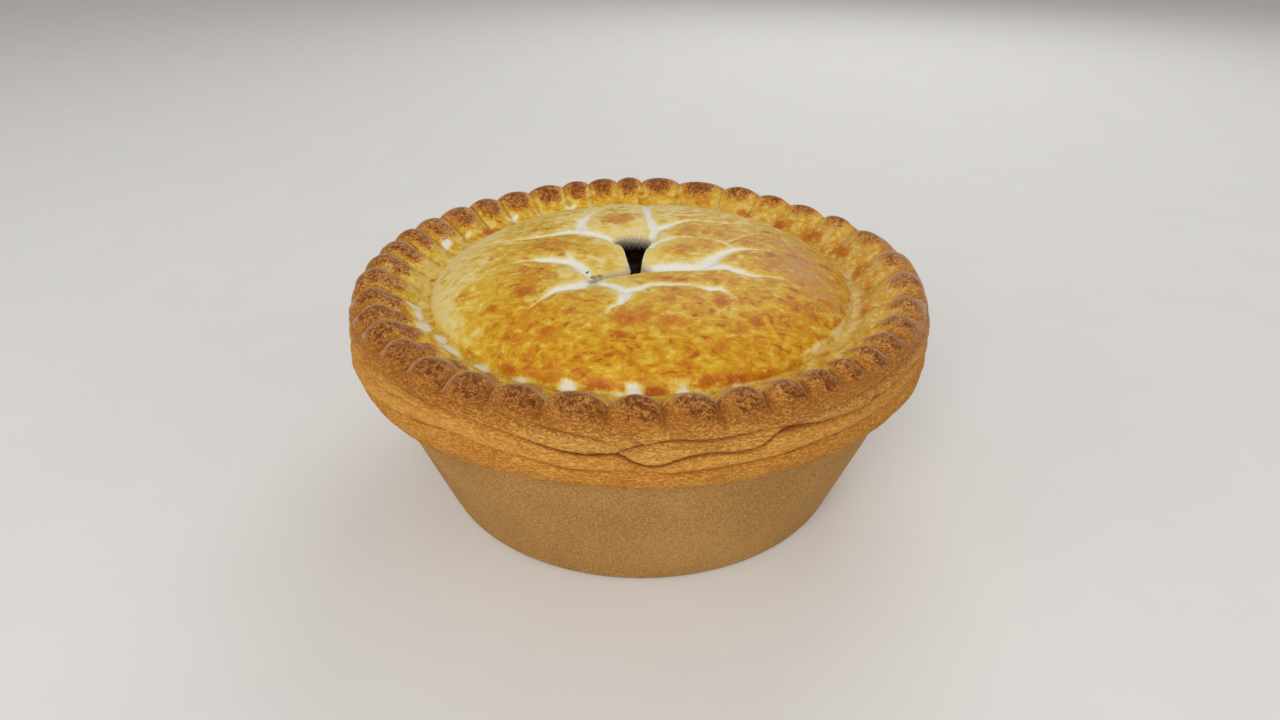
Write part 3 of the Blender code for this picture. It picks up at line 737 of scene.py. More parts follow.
def lid_surface(radius, height, even_angle, on_top):
    """(points, masks) of the lid.

    A point of the half section at (radius, height) turns to its crimp's angle, is pushed out of the
    section by the crimp's bulge, and then sinks with the sags, the valleys and the tear's curl. The
    masks of the painted shade down the tear and of the burnt flecks are filled in once the tear is cut.
    """
    sizes = bpy.context.scene.pie_sizes
    phase = CRIMPS * even_angle / math.tau
    middle = smoothstep(0.2 * DOME_RADIUS, 0.95 * DOME_RADIUS, radius)
    angle = even_angle + (crimp_angle(phase) - even_angle) * middle
    # The crimps: how far each place is pushed out of the section, and to which side.
    bulge = crimp_bulge(phase)
    inward = smoothstep(TROUGH_RADIUS - 1.0 * MM, CREST_RADIUS - 4.6 * MM, radius)
    foot = around(angle, NOTCH_FOOT) * MM
    outward = smoothstep(foot - 0.4 * MM, foot + 2.2 * MM, height)
    share = np.where(radius < CREST_RADIUS, inward, outward) * on_top * around(angle, NOTCH_SHARE)
    push = sizes.crimp_relief * share * (bulge - MEAN_BULGE)
    tilt = 0.5 * math.pi * smoothstep(CREST_RADIUS - 3.0 * MM, RIM_RADIUS + 1.0 * MM, radius)
    # The seam's rise and fall, the uneven crest and the sag at the back right.
    low = 1.0 - smoothstep(SEAM_HEIGHT + GAP, CREST_HEIGHT - CREST_DEPTH, height)
    crest = smoothstep(TROUGH_RADIUS + 1.0 * MM, CREST_RADIUS - 2.0 * MM, radius)
    lift = waves(angle, CREST_WAVES) * crest - SLUMP_DROP * slump(angle) * rim_share(radius)
    lift = lift * (1.0 - low)
    out = radius + push * np.sin(tilt) + rim_offset(angle) * rim_share(radius)
    z = height + push * np.cos(tilt) + seam_lift(angle, radius) * low + lift
    # The folds of the side below the crimps.
    side = on_top * (1.0 - smoothstep(CREST_HEIGHT - 4.4 * MM, CREST_HEIGHT - 2.4 * MM, height))
    side = side * smoothstep(CREST_RADIUS, CREST_RADIUS + 2.0 * MM, radius)
    offset, crease, roll = fold_relief(angle, z, (SEAM_LINE, *LID_FOLDS, *tail_folds()))
    nicks, rust = side_marks(angle, z)
    out = out + (offset - NICK_DEPTH * nicks) * side
    x, y = out * np.cos(angle), out * np.sin(angle)
    # The sags, the valleys, the tear's edge and the lumps of the dough.
    z = z - sink_depth(x, y)
    where = stacked(x, y, z)
    depth, pale, halo = valleys(x / MM, y / MM)
    inside = 1.0 - smoothstep(DOME_RADIUS - 1.0 * MM, DOME_RADIUS + 1.5 * MM, radius)
    edge = distance_to_vent(x, y)
    dent = sizes.valley_depth * depth * inside + vent_curl(y, edge) - lip_relief(x / MM, y / MM)
    lumps = LUMPS[0] * layered_noise(where, LUMPS[1], 3) * inside
    crags = CRAGS[0] * layered_noise(where, CRAGS[1], 9) * share
    wrinkle, worms = wrinkles(where)
    z = z + on_top * (lumps - dent + crags * np.cos(tilt))
    swell = 1.0 + (crags * np.sin(tilt) + wrinkle * side) * on_top / np.maximum(out, MM)
    bake, pale, halo, scorch, tan = glaze_masks(x, y, edge, pale, halo)
    patch = crimp_patch(phase, angle, radius, height)
    crown = smoothstep(CREST_RADIUS - 5.0 * MM, CREST_RADIUS - 2.0 * MM, radius)
    floury_left = 0.6 * smoothstep(-20.0 * MM, -38.0 * MM, x) * inside
    masks = {
        "bake": bake + 0.2 * patch,
        "least": 0.18 + 0.09 * smoothstep(43.0 * MM, 45.0 * MM, radius),
        "pale": pale,
        "halo": halo,
        "scorch": scorch,
        "burnt": 0.0 * radius,
        "tan": tan,
        "crimp": patch * on_top,
        # Where the crimps' crowns get light veins and a painted pale sheen.
        "bloom": on_top * crown * (1.0 - side),
        # Painted shade in the notches between the crimps.
        "notch": share * (1.0 - smoothstep(0.0, 0.45, bulge)),
        "fold": on_top * smoothstep(CREST_RADIUS - 2.6 * MM, CREST_RADIUS + 1.0 * MM, radius),
        "calm": np.maximum(np.exp(-((edge / (5.0 * MM)) ** 2)), floury_left),
        # Painted shade down the tear, filled in once the tear is cut.
        "stain": 0.0 * radius,
        **side_masks(crease, nicks, worms, rust, roll, side),
    }
    return flattened(stacked(x * swell, y * swell, z), masks)


def lid_rim_section():
    """The lid's half section from the dome's edge over the crimps to the seam."""
    knots = [
        (DOME_RADIUS, TROUGH_HEIGHT + 1.0 * MM),
        (DOME_RADIUS + 0.35 * MM, TROUGH_HEIGHT - 0.1 * MM),
        (DOME_RADIUS + 0.8 * MM, TROUGH_HEIGHT - 0.3 * MM),
        (TROUGH_RADIUS + 0.4 * MM, TROUGH_HEIGHT + 0.1 * MM),
        (CREST_RADIUS - 6.2 * MM, TROUGH_HEIGHT + 2.2 * MM),
        (CREST_RADIUS - 3.6 * MM, CREST_HEIGHT - 2.0 * MM),
        (CREST_RADIUS - 1.6 * MM, CREST_HEIGHT - 0.5 * MM),
        (CREST_RADIUS + 0.2 * MM, CREST_HEIGHT),
        (CREST_RADIUS + 2.2 * MM, CREST_HEIGHT - 0.8 * MM),
        (CREST_RADIUS + 3.7 * MM, CREST_HEIGHT - 2.5 * MM),
        (CREST_RADIUS + 4.2 * MM, CREST_HEIGHT - 5.0 * MM),
        (RIM_RADIUS - 0.7 * MM, SEAM_HEIGHT + 1.3 * MM),
        (RIM_RADIUS - 0.55 * MM, SEAM_HEIGHT + 0.6 * MM),
        (RIM_RADIUS - 1.1 * MM, SEAM_HEIGHT + TOUCH),
    ]
    return smooth_path(knots, 0.28 * MM)


def lid_under_section():
    """The lid's half section underneath, from its seat on the case to near its middle."""
    shares = np.linspace(0.95, 0.1, 9)
    under = [(share * DOME_RADIUS, under_lid(share * DOME_RADIUS)) for share in shares]
    return np.array([(SHOULDER_RADIUS - WALL, SEAT_HEIGHT)] + under)


def build_lid(material):
    """The lid: a fine disc for the dome, rows over the crimped rim, and plain rows underneath."""
    u, v = disc_places(DISC_SIDE)
    spread = np.hypot(u, v)
    disc_radius = DOME_RADIUS * spread * (0.72 + 0.28 * spread**2)
    disc_angle = np.arctan2(v, u)
    tops = lid_surface(disc_radius.ravel(), dome_height(disc_radius).ravel(), disc_angle.ravel(), 1.0)
    angles = -math.pi / 4.0 + np.arange(COLUMNS) * math.tau / COLUMNS
    rim = lid_rim_section()[1:, :, None]
    rims = lid_surface(rim[:, 0], rim[:, 1], angles[None, :], 1.0)
    under = lid_under_section()[:, :, None]
    unders = lid_surface(under[:, 0], under[:, 1], angles[None, :], 0.0)
    centre = under_lid(0.0) - sink_depth(0.0, 0.0)
    points = np.vstack([tops[0], rims[0], unders[0], [(0.0, 0.0, centre)]])
    masks = {
        label: np.concatenate([tops[1][label], rims[1][label], unders[1][label], [0.0]])
        for label in tops[1]
    }
    disc_points = (DISC_SIDE + 1) ** 2
    rows = len(rim) + len(under)
    outer = disc_points + np.arange(rows * COLUMNS).reshape(rows, COLUMNS)
    loops = np.vstack([disc_border(DISC_SIDE), outer])
    number = np.arange(disc_points).reshape(DISC_SIDE + 1, DISC_SIDE + 1)
    disc_faces = np.stack([number[:-1, :-1], number[:-1, 1:], number[1:, 1:], number[1:, :-1]], axis=-1)
    faces = disc_faces.reshape(-1, 4).tolist() + ring_faces(loops).tolist()
    faces += cap_faces(loops[-1], len(points) - 1, True).tolist()
    return new_piece("lid_pastry", points, faces, masks, material)


def vent_cutter():
    """A closed, ragged wall along the tear's outline: narrower through the lid, and wider below it."""
    outline = vent_outline()
    centre = outline.mean(axis=0)
    levels = np.append(56.0, np.arange(51.0, 44.0, -0.45)) * MM
    narrowing = 0.05 * smoothstep(50.0 * MM, 47.4 * MM, levels)
    widening = 0.3 * smoothstep(46.9 * MM, 46.2 * MM, levels)
    shares = 1.0 - narrowing + widening
    levels = np.append(levels, 39.0 * MM)
    shares = np.append(shares, 1.25)
    rings = [
        np.column_stack([centre + (outline - centre) * share, np.full(len(outline), level)])
        for share, level in zip(shares, levels)
    ]
    points = np.vstack(rings)
    sways = [lattice_noise(points, 1.1 * MM, seed) for seed in (31, 32)]
    ragged = 0.25 * MM * np.stack(sways, axis=-1)
    deep = smoothstep(50.0 * MM, 46.0 * MM, points[:, 2:])
    points[:, :2] += ragged * deep
    loops = np.arange(len(points)).reshape(len(levels), -1)
    faces = ring_faces(loops).tolist() + [loops[0].tolist(), loops[-1][::-1].tolist()]
    mesh = bpy.data.meshes.new("vent_cutter")
    mesh.from_pydata(points + np.array((*STAND, 0.0)), [], faces)
    return new_object("vent_cutter", mesh)


def cut(piece, cutter):
    """Takes the cutter's space out of the piece for good, and removes the cutter."""
    boolean = piece.modifiers.new("Tear", "BOOLEAN")
    boolean.operation = "DIFFERENCE"
    boolean.solver = "EXACT"
    boolean.object = cutter
    graph = bpy.context.evaluated_depsgraph_get()
    cut_mesh = bpy.data.meshes.new_from_object(piece.evaluated_get(graph))
    piece.modifiers.clear()
    whole = piece.data
    if len(cut_mesh.polygons) == len(whole.polygons):
        raise RuntimeError(f"{piece.name}: the tear wasn't cut")
    piece.data = cut_mesh
    cut_mesh.name = piece.name
    bpy.data.meshes.remove(whole)
    bpy.data.objects.remove(cutter)


def mark_tear_shade_and_flecks(lid):
    """Marks the cut lid's burnt flecks, and a painted shade near the tear that darkens as the lid sinks
    below the dome.
    """
    mesh = lid.data
    flat = np.empty(3 * len(mesh.vertices), np.float32)
    mesh.vertices.foreach_get("co", flat)
    points = flat.reshape(-1, 3) - np.array((*STAND, 0.0))
    radius = np.hypot(points[:, 0], points[:, 1])
    sunk = dome_height(radius) - points[:, 2]
    near = np.exp(-((distance_to_vent(points[:, 0], points[:, 1]) / (2.4 * MM)) ** 2))
    # Painted shade: the further a point near the tear lies below the dome, the darker.
    stain = smoothstep(1.1 * MM, 4.6 * MM, sunk) * near * (radius < 0.5 * DOME_RADIUS)
    burnt = np.zeros(len(points))
    for x, y, length, width in BURNT_FLECKS:
        away = ((points[:, 0] / MM - x) / length) ** 2 + ((points[:, 1] / MM - y) / width) ** 2
        burnt = np.maximum(burnt, np.exp(-away))
    burnt = burnt * (points[:, 2] > DOME_HEIGHT - 5.0 * MM)
    mesh.attributes["stain"].data.foreach_set("value", stain.astype(np.float32))
    mesh.attributes["burnt"].data.foreach_set("value", burnt.astype(np.float32))


def base_section():
    """The outside of the case below the rim, down its round corner and in over the flat floor."""
    run = SHOULDER_RADIUS - BASE_RADIUS
    slope = math.atan2(run, RIM_FOOT_HEIGHT)
    shares = np.linspace(1.0, 0.09, 48)
    belly = BASE_BELLY * np.sin(math.pi * shares)
    side = np.stack([BASE_RADIUS + run * shares + belly, RIM_FOOT_HEIGHT * shares], axis=-1)
    corner_radius = BASE_RADIUS - CORNER * (1.0 - math.sin(slope)) / math.cos(slope)
    turns = np.linspace(0.5 * math.pi - slope, 0.0, 8)[:, None]
    corner = np.hstack([corner_radius + CORNER * np.sin(turns), CORNER * (1.0 - np.cos(turns))])
    floor_shares = np.linspace(0.93, 0.08, 10)[:, None]
    floor = np.hstack([corner_radius * floor_shares, np.zeros_like(floor_shares)])
    return np.vstack([side, corner, floor])


def case_section():
    """The case's half section from its inner floor, up inside, over the rim and down outside."""
    inner = SHOULDER_RADIUS - WALL
    inside = np.array([
        (BASE_RADIUS - WALL - 1.0 * MM, WALL),
        (BASE_RADIUS - WALL + 1.6 * MM, WALL + 2.6 * MM),
        (inner, RIM_FOOT_HEIGHT),
        (inner, SEAT_HEIGHT - GAP),
        (RIM_RADIUS - 4.0 * MM, SEAM_HEIGHT - 2.2 * MM),
    ])
    rim = smooth_path([
        (RIM_RADIUS - 2.6 * MM, SEAM_HEIGHT - 0.2 * MM),
        (RIM_RADIUS - 1.2 * MM, SEAM_HEIGHT - TOUCH),
        (RIM_RADIUS - 0.6 * MM, SEAM_HEIGHT - 0.4 * MM),
        (RIM_RADIUS - 0.3 * MM, SEAM_HEIGHT - LIP),
        (RIM_RADIUS - 0.35 * MM, RIM_FOOT_HEIGHT + 4.0 * MM),
        (RIM_RADIUS - 0.1 * MM, RIM_FOOT_HEIGHT + 2.4 * MM),
        (RIM_RADIUS - 0.9 * MM, RIM_FOOT_HEIGHT + 0.3 * MM),
        (RIM_RADIUS - 2.4 * MM, RIM_FOOT_HEIGHT - 0.2 * MM),
        (SHOULDER_RADIUS + 0.2 * MM, RIM_FOOT_HEIGHT + 0.1 * MM),
    ], 0.26 * MM)
    return np.vstack([inside, rim, base_section()])


def case_surface(radius, height, angle):
    """(points, masks) of the case: its section turned, with the rim's waves, folds and grain."""
    high = smoothstep(RIM_FOOT_HEIGHT + LIP, SEAM_HEIGHT - LIP, height)
    outside = rim_share(radius) * smoothstep(0.0, RIM_FOOT_HEIGHT, height)
    rim = smoothstep(RIM_FOOT_HEIGHT - 0.6 * MM, RIM_FOOT_HEIGHT + 0.4 * MM, height) * rim_share(radius)
    z = height + seam_lift(angle, radius) * high
    offset, crease, roll = fold_relief(angle, z, (SEAM_LINE, *CASE_FOLDS))
    nicks, rust = side_marks(angle, z)
    out = radius + rim_offset(angle) * outside + (offset - NICK_DEPTH * nicks) * rim
    x, y = out * np.cos(angle), out * np.sin(angle)
    where = stacked(x, y, z)
    wrinkle, worms = wrinkles(where)
    sway = SWAY[0] * lattice_noise(where, SWAY[1], 5) * (1.0 - rim) * smoothstep(0, 4 * MM, height)
    outer = (radius > BASE_RADIUS - 4.0 * MM) * (height > 0.0)
    swell = 1.0 + (wrinkle * rim + sway) * outer / np.maximum(out, MM)
    masks = {"fold": rim, **side_masks(crease, nicks, worms, rust, roll, rim)}
    return flattened(stacked(x * swell, y * swell, z), masks)


def build_case(material):
    """The case: one closed skin round its wall, from the inner floor to the flat underneath."""
    section = case_section()[:, :, None]
    angles = np.arange(COLUMNS) * math.tau / COLUMNS
    points, masks = case_surface(section[:, 0], section[:, 1], angles[None, :])
    points = np.vstack([points, [(0.0, 0.0, WALL), (0.0, 0.0, 0.0)]])
    masks = {label: np.concatenate([values, [0.0, 0.0]]) for label, values in masks.items()}
    return new_piece("case_pastry", points, closed_skin(len(section), COLUMNS), masks, material)


def build_gravy(material):
    """The filling: lumpy where the tear lets it be seen, and plain down inside the case."""
    inner = SHOULDER_RADIUS - WALL - GAP
    shares = np.linspace(0.02, 0.95, 70)
    top = np.stack([shares * DOME_RADIUS, under_lid(shares * DOME_RADIUS) - GAP], axis=-1)
    side = np.array([
        (inner, SEAT_HEIGHT - GAP),
        (inner, RIM_FOOT_HEIGHT),
        (BASE_RADIUS - WALL + 1.6 * MM - GAP, WALL + 2.6 * MM + GAP),
        (BASE_RADIUS - WALL - 1.0 * MM - GAP, WALL + GAP),
    ])
    section = np.vstack([top, side])[:, :, None]
    angles = (np.arange(GRAVY_COLUMNS) * math.tau / GRAVY_COLUMNS)[None, :]
    radius, height = section[:, 0], section[:, 1]
    x, y = radius * np.cos(angles), radius * np.sin(angles)
    away = (x - WELL_CENTRE[0]) ** 2 + (y - WELL_CENTRE[1]) ** 2
    well = WELL_DEPTH * np.exp(-away / (2.0 * WELL_REACH**2))
    near = np.exp(-away / (2.0 * (9 * MM) ** 2))
    lumps = 1.1 * MM * (layered_noise(stacked(x, y, 0.0 * x), 4.5 * MM, 41) - 0.7) * near
    z = height + np.where(height > RIM_FOOT_HEIGHT, lumps - sink_depth(x, y) - well, 0.0)
    points = np.stack([x, y, z], axis=-1).reshape(-1, 3)
    middle = points[:GRAVY_COLUMNS].mean(axis=0)
    points = np.vstack([points, [middle, (0.0, 0.0, WALL + GAP)]])
    return new_piece("gravy", points, closed_skin(len(section), GRAVY_COLUMNS), {}, material)


# ---------------------------------------------------------------- shader helpers


class Wiring:
    """Adds nodes to a shader tree. A socket given as an input's value is linked, any other is set."""

    def __init__(self, tree):
        self.tree = tree

    def feed(self, socket, value):
        if isinstance(value, bpy.types.NodeSocket):
            self.tree.links.new(value, socket)
        else:
            socket.default_value = value

    def add(self, kind, inputs=None, output=0, **settings):
        node = self.tree.nodes.new("ShaderNode" + kind)
        for name, value in settings.items():
            setattr(node, name, value)
        for key, value in (inputs or {}).items():
            self.feed(node.inputs[key], value)
        return node.outputs[output]

    def math(self, operation, *values):
        return self.add("Math", dict(enumerate(values)), operation=operation)

    def plus(self, first, second):
        return self.math("ADD", first, second)

    def minus(self, first, second):
        return self.math("SUBTRACT", first, second)

    def times(self, first, *others):
        for other in others:
            first = self.math("MULTIPLY", first, other)
        return first

    def mix(self, factor, first, second):
        return self.add("Mix", {0: factor, 6: first, 7: second}, output=2, data_type="RGBA")

    def ease(self, value, low, high):
        """0 below low, 1 above high, and an S curve between."""
        inputs = {"Value": value, "From Min": low, "From Max": high}
        return self.add("MapRange", inputs, interpolation_type="SMOOTHSTEP")

    def tint(self, colour, value, low, high, other):
        """The colour, turned into the other one as the value goes from low to high."""
        return self.mix(self.ease(value, low, high), colour, other)

    def mask(self, name):
        return self.add("Attribute", output=2, attribute_name=name)

    def places(self, stretch=(1.0, 1.0, 1.0)):
        """Object coordinates, multiplied along each axis."""
        object_places = self.add("TexCoord", output=3)
        return self.add("VectorMath", {0: object_places, 1: stretch}, operation="MULTIPLY")

    def noise(self, places, scale, detail=2.0, roughness=0.5, distortion=0.0):
        inputs = {
            "Vector": places, "Scale": scale, "Detail": detail, "Roughness": roughness,
            "Distortion": distortion,
        }
        return self.add("TexNoise", inputs)

    def group(self, tree, inputs):
        node = self.tree.nodes.new("ShaderNodeGroup")
        node.node_tree = tree
        for key, value in inputs.items():
            self.feed(node.inputs[key], value)
        return node.outputs


def new_group(name, inputs, outputs):
    """A shader node group with named sockets, given as (name, kind, value) and (name, kind)."""
    tree = bpy.data.node_groups.new(name, "ShaderNodeTree")
    for label, kind, value in inputs:
        socket = tree.interface.new_socket(label, in_out="INPUT", socket_type="NodeSocket" + kind)
        socket.default_value = value
    for label, kind in outputs:
        tree.interface.new_socket(label, in_out="OUTPUT", socket_type="NodeSocket" + kind)
    return tree, tree.nodes.new("NodeGroupInput").outputs, tree.nodes.new("NodeGroupOutput").inputs


def bake_group():
    """Colour of egg-washed pastry from how far it is baked: 0 is floury, 1 is scorched."""
    stages = [(name, "Color", (1, 1, 1, 1)) for name in BAKE_STAGES]
    inputs = [("Bake", "Float", 0.5), *stages]
    tree, given, made = new_group("Bake colours", inputs, [("Colour", "Color")])
    w = Wiring(tree)
    colour = given[BAKE_STAGES[0]]
    steps = ((0.02, 0.26), (0.24, 0.5), (0.5, 0.78), (0.78, 1.05))
    for name, (low, high) in zip(BAKE_STAGES[1:], steps):
        colour = w.tint(colour, given["Bake"], low, high, given[name])
    w.feed(made["Colour"], colour)
    return tree


def mottle_group():
    """Blistered glaze: cloudy blotches, and short pale flecks."""
    tree, given, made = new_group(
        "Oven mottle", [("Scale", "Float", MOTTLE_SCALE)], [("Blotches", "Float"), ("Flecks", "Float")]
    )
    w = Wiring(tree)
    places = w.places((1.0, 1.15, 1.6))
    w.feed(made["Blotches"], w.noise(places, given["Scale"], 4.0, 0.62, 0.5))
    finer = w.times(given["Scale"], 1.9)
    flecks = w.noise(w.places((0.75, 1.25, 1.6)), finer, 3.0, 0.6, 0.7)
    w.feed(made["Flecks"], w.ease(flecks, 0.52, 0.68))
    return tree


def fold_group():
    """The rim's folded side: wrinkled dough with painted shade in its creases and grooves and painted light
    on its rolls, browner towards the crimps.
    """
    inputs = [(name, "Float", 0.0) for name in FOLD_MASKS]
    inputs += [(name, "Color", (1, 1, 1, 1)) for name in FOLD_COLOURS]
    tree, given, made = new_group("Folded edge", inputs, [("Colour", "Color"), ("Height", "Float")])
    w = Wiring(tree)
    grain = w.noise(w.places((0.7, 0.7, 2.7)), 1900.0, 3.0, 0.62, 0.9)
    broad = w.noise(w.places((1.0, 1.0, 2.0)), 170.0, 2.0, 0.5, 0.4)
    level = w.add("SeparateXYZ", {0: w.places()}, output=2)
    upper = w.times(w.ease(level, 41.5 * MM, 44.5 * MM), w.ease(level, 47.6 * MM, 45.4 * MM))
    tone = w.plus(w.times(grain, 0.76), w.times(broad, 0.24))
    tone = w.minus(tone, w.times(upper, 0.14))
    # Painted light on the rolls' tops.
    tone = w.plus(tone, w.times(w.minus(given["Roll"], 0.12), 0.3))
    colour = w.mix(w.ease(tone, 0.24, 0.68), given["Dark"], given["Light"])
    # Thin grooves along the grain, with painted shade in them.
    line = w.ease(w.math("ABSOLUTE", w.minus(grain, 0.45)), 0.03, 0.0)
    colour = w.mix(w.times(line, 0.42), colour, given["Crease Colour"])
    colour = w.mix(w.times(given["Rust"], 0.9), colour, given["Rust Colour"])
    # Painted shade in the creases, the nicks and the wrinkles.
    colour = w.tint(colour, given["Crease"], 0.15, 1.2, given["Crease Colour"])
    w.feed(made["Colour"], colour)
    w.feed(made["Height"], w.minus(grain, w.times(line, 0.4)))
    return tree


def new_material(name, roughness, specular=0.5):
    """(material, wiring, shader) of a Principled surface."""
    material = bpy.data.materials.new(name)
    material.use_nodes = True
    shader = material.node_tree.nodes["Principled BSDF"]
    shader.inputs["Roughness"].default_value = roughness
    shader.inputs["Specular IOR Level"].default_value = specular
    return material, Wiring(material.node_tree), shader


def socket_colours(colours):
    """The colours of the settings by name, as values for colour sockets."""
    return {name: (*getattr(colours, name), 1.0) for name in PieColours.__annotations__}


def finish_surface(w, shader, colour, height, strength, depth):
    """Wires the colour and a bump into the shader."""
    w.feed(shader.inputs["Base Color"], colour)
    bump = w.add("Bump", {"Height": height, "Strength": strength, "Distance": depth})
    w.feed(shader.inputs["Normal"], bump)


def folded_edge(w, groups, paint):
    """The folded edge's outputs for one material."""
    inputs = {name: w.mask(name.lower()) for name in FOLD_MASKS}
    inputs.update({name: paint[colour] for name, colour in FOLD_COLOURS.items()})
    return w.group(groups["Folded edge"], inputs)


def egg_glaze(w, groups, paint, centred, flecks):
    """Golden to red-brown glaze: the bake mask with blotches, pale flecks, darker blots and tan haze."""
    lively = w.minus(1.8, w.times(w.mask("calm"), 1.1))
    bake = w.plus(w.mask("bake"), w.times(centred, lively))
    strong = w.minus(1.0, w.times(w.mask("calm"), 0.9))
    bake = w.minus(bake, w.times(flecks, strong, 0.2))
    bake = w.minus(bake, w.times(w.mask("halo"), 0.3))
    blots = w.noise(w.places((0.75, 1.25, 1.5)), 300.0, 2.0, 0.5, 0.8)
    bake = w.plus(bake, w.times(w.ease(blots, 0.54, 0.68), strong, 0.26))
    bake = w.math("MAXIMUM", bake, w.mask("least"))
    stages = {name: paint[name.lower()] for name in BAKE_STAGES}
    colour = w.group(groups["Bake colours"], {"Bake": bake, **stages})["Colour"]
    streaks = w.noise(w.places((1.1, 0.9, 1.6)), 560.0, 3.0, 0.6, 0.8)
    haze = w.times(w.mask("tan"), w.ease(streaks, 0.36, 0.6))
    return w.mix(haze, colour, paint["tan"])


def oven_marks(w, paint, colour, centred, wormy):
    """The colour with red-brown spots, floury valleys and burnt flecks, whose edges noise breaks up."""
    scorch = w.plus(w.mask("scorch"), w.times(centred, 1.2))
    scorch = w.plus(scorch, w.times(wormy, 1.6))
    scorch = w.times(scorch, w.ease(w.mask("scorch"), 0.02, 0.3))
    colour = w.tint(colour, scorch, 0.1, 0.6, paint["toasted"])
    colour = w.tint(colour, scorch, 0.45, 1.05, paint["scorched"])
    pale = w.minus(w.mask("pale"), w.times(centred, 0.7))
    pale = w.minus(pale, w.times(wormy, 0.5))
    pale = w.times(pale, w.ease(w.mask("pale"), 0.02, 0.2))
    colour = w.tint(colour, pale, 0.12, 0.5, paint["pale"])
    colour = w.tint(colour, pale, 0.35, 0.8, paint["floury"])
    flecks = w.plus(w.mask("burnt"), w.times(wormy, 1.2))
    flecks = w.times(flecks, w.ease(w.mask("burnt"), 0.05, 0.3))
    return w.tint(colour, flecks, 0.2, 0.7, paint["stained"])


def crimp_skin(w, paint, colour, folded, worms, wormy):
    """The colour with the folded edge, and over it the crimps: brown mottle, light veins, painted shade in
    the notches, and a painted pale sheen at grazing angles.
    """
    broad = w.minus(w.noise(w.places(), 420.0, 2.0, 0.5, 0.5), 0.5)
    crimp = w.plus(w.mask("crimp"), w.times(broad, 0.8))
    tone = w.plus(crimp, w.times(wormy, 3.0))
    skin = w.times(w.ease(tone, 0.05, 0.85), w.ease(w.mask("crimp"), 0.05, 0.4))
    colour = w.mix(w.math("MAXIMUM", w.mask("fold"), skin), colour, folded)
    tone = w.times(tone, w.ease(w.mask("crimp"), 0.1, 0.5))
    colour = w.mix(w.times(w.ease(tone, 0.3, 0.8), 0.45), colour, paint["crimp_light"])
    colour = w.tint(colour, tone, 0.58, 1.22, paint["crimp_dark"])
    veins = w.ease(w.math("ABSOLUTE", w.minus(worms, 0.47)), 0.03, 0.0)
    colour = w.mix(w.times(veins, w.mask("bloom"), 0.32), colour, paint["vein"])
    # Painted shade in the notches between the crimps.
    colour = w.mix(w.times(w.mask("notch"), 0.45), colour, paint["crimp_dark"])
    # A painted pale sheen on the crowns, stronger where the surface is seen at a grazing angle.
    grazing = w.add("LayerWeight", {"Blend": 0.5}, output=1)
    grazing = w.plus(grazing, w.times(wormy, 0.9))
    bloom = w.times(w.ease(grazing, 0.56, 0.98), w.mask("bloom"), 0.55)
    return w.mix(bloom, colour, paint["bloom"])


def paint_tear_shade(w, paint, colour):
    """The colour with painted shade down the walls of the tear, from beige-grey to near black as they go
    deeper.
    """
    grit = w.noise(w.places(), 2200.0, 3.0, 0.7, 0.3)
    soak = w.plus(w.mask("stain"), w.times(w.minus(grit, 0.5), 0.7))
    soak = w.times(soak, w.ease(w.mask("stain"), 0.0, 0.08))
    colour = w.tint(colour, soak, 0.0, 0.3, paint["soaked"])
    colour = w.tint(colour, soak, 0.25, 0.7, paint["stained"])
    return w.tint(colour, soak, 0.7, 0.95, paint["gravy_dark"])


def lid_material(groups, paint):
    """Egg-washed pastry: gold and amber mottle, floury valleys, brown crimps with a painted pale sheen, and
    painted shade in the notches, the creases and the tear.
    """
    material, w, shader = new_material("glazed_lid_pastry", 0.45, 0.15)
    mottle = w.group(groups["Oven mottle"], {"Scale": MOTTLE_SCALE})
    centred = w.minus(mottle["Blotches"], 0.5)
    worms = w.noise(w.places(), 1250.0, 3.0, 0.6, 1.2)
    wormy = w.minus(worms, 0.5)
    folded = folded_edge(w, groups, paint)
    colour = egg_glaze(w, groups, paint, centred, mottle["Flecks"])
    colour = oven_marks(w, paint, colour, centred, wormy)
    colour = crimp_skin(w, paint, colour, folded["Colour"], worms, wormy)
    colour = paint_tear_shade(w, paint, colour)
    height = w.plus(w.times(worms, 0.5), w.times(folded["Height"], w.mask("fold")))
    finish_surface(w, shader, colour, height, 0.85, 0.25 * MM)
    return material


def case_material(groups, paint):
    """Dry baked pastry: folded and creased at the rim, and sandy below it."""
    material, w, shader = new_material("baked_case_pastry", 0.75, 0.1)
    places = w.places()
    sand = w.noise(places, 2400.0, 3.0, 0.7, 0.3)
    cloud = w.noise(places, 60.0, 2.0, 0.5, 0.0)
    tone = w.plus(w.times(sand, 0.8), w.times(cloud, 0.2))
    base = w.mix(w.ease(tone, 0.34, 0.66), paint["base_dark"], paint["base_light"])
    folded = folded_edge(w, groups, paint)
    colour = w.mix(w.mask("fold"), base, folded["Colour"])
    height = w.plus(w.times(sand, 0.8), w.times(folded["Height"], w.mask("fold")))
    finish_surface(w, shader, colour, height, 0.7, 0.25 * MM)
    return material


def gravy_material(paint):
    """Dark, wet ale gravy."""
    material, w, shader = new_material("ale_gravy", 0.2)
    patches = w.noise(w.places(), 500.0, 3.0, 0.6, 0.5)
    colour = w.mix(w.ease(patches, 0.4, 0.7), paint["gravy_dark"], paint["gravy_light"])
    finish_surface(w, shader, colour, patches, 0.6, 0.4 * MM)
    return material


# ---------------------------------------------------------------- settings


def colour_property(name, description, value):
    return bpy.props.FloatVectorProperty(
        name=name, description=description, subtype="COLOR", size=3, min=0.0, max=1.0, default=value
    )


def power_property(name, description, value):
    return bpy.props.FloatProperty(name=name, description=description, subtype="POWER", default=value)


def length_property(name, description, value):
    return bpy.props.FloatProperty(
        name=name, description=description, unit="LENGTH", subtype="DISTANCE", default=value
    )


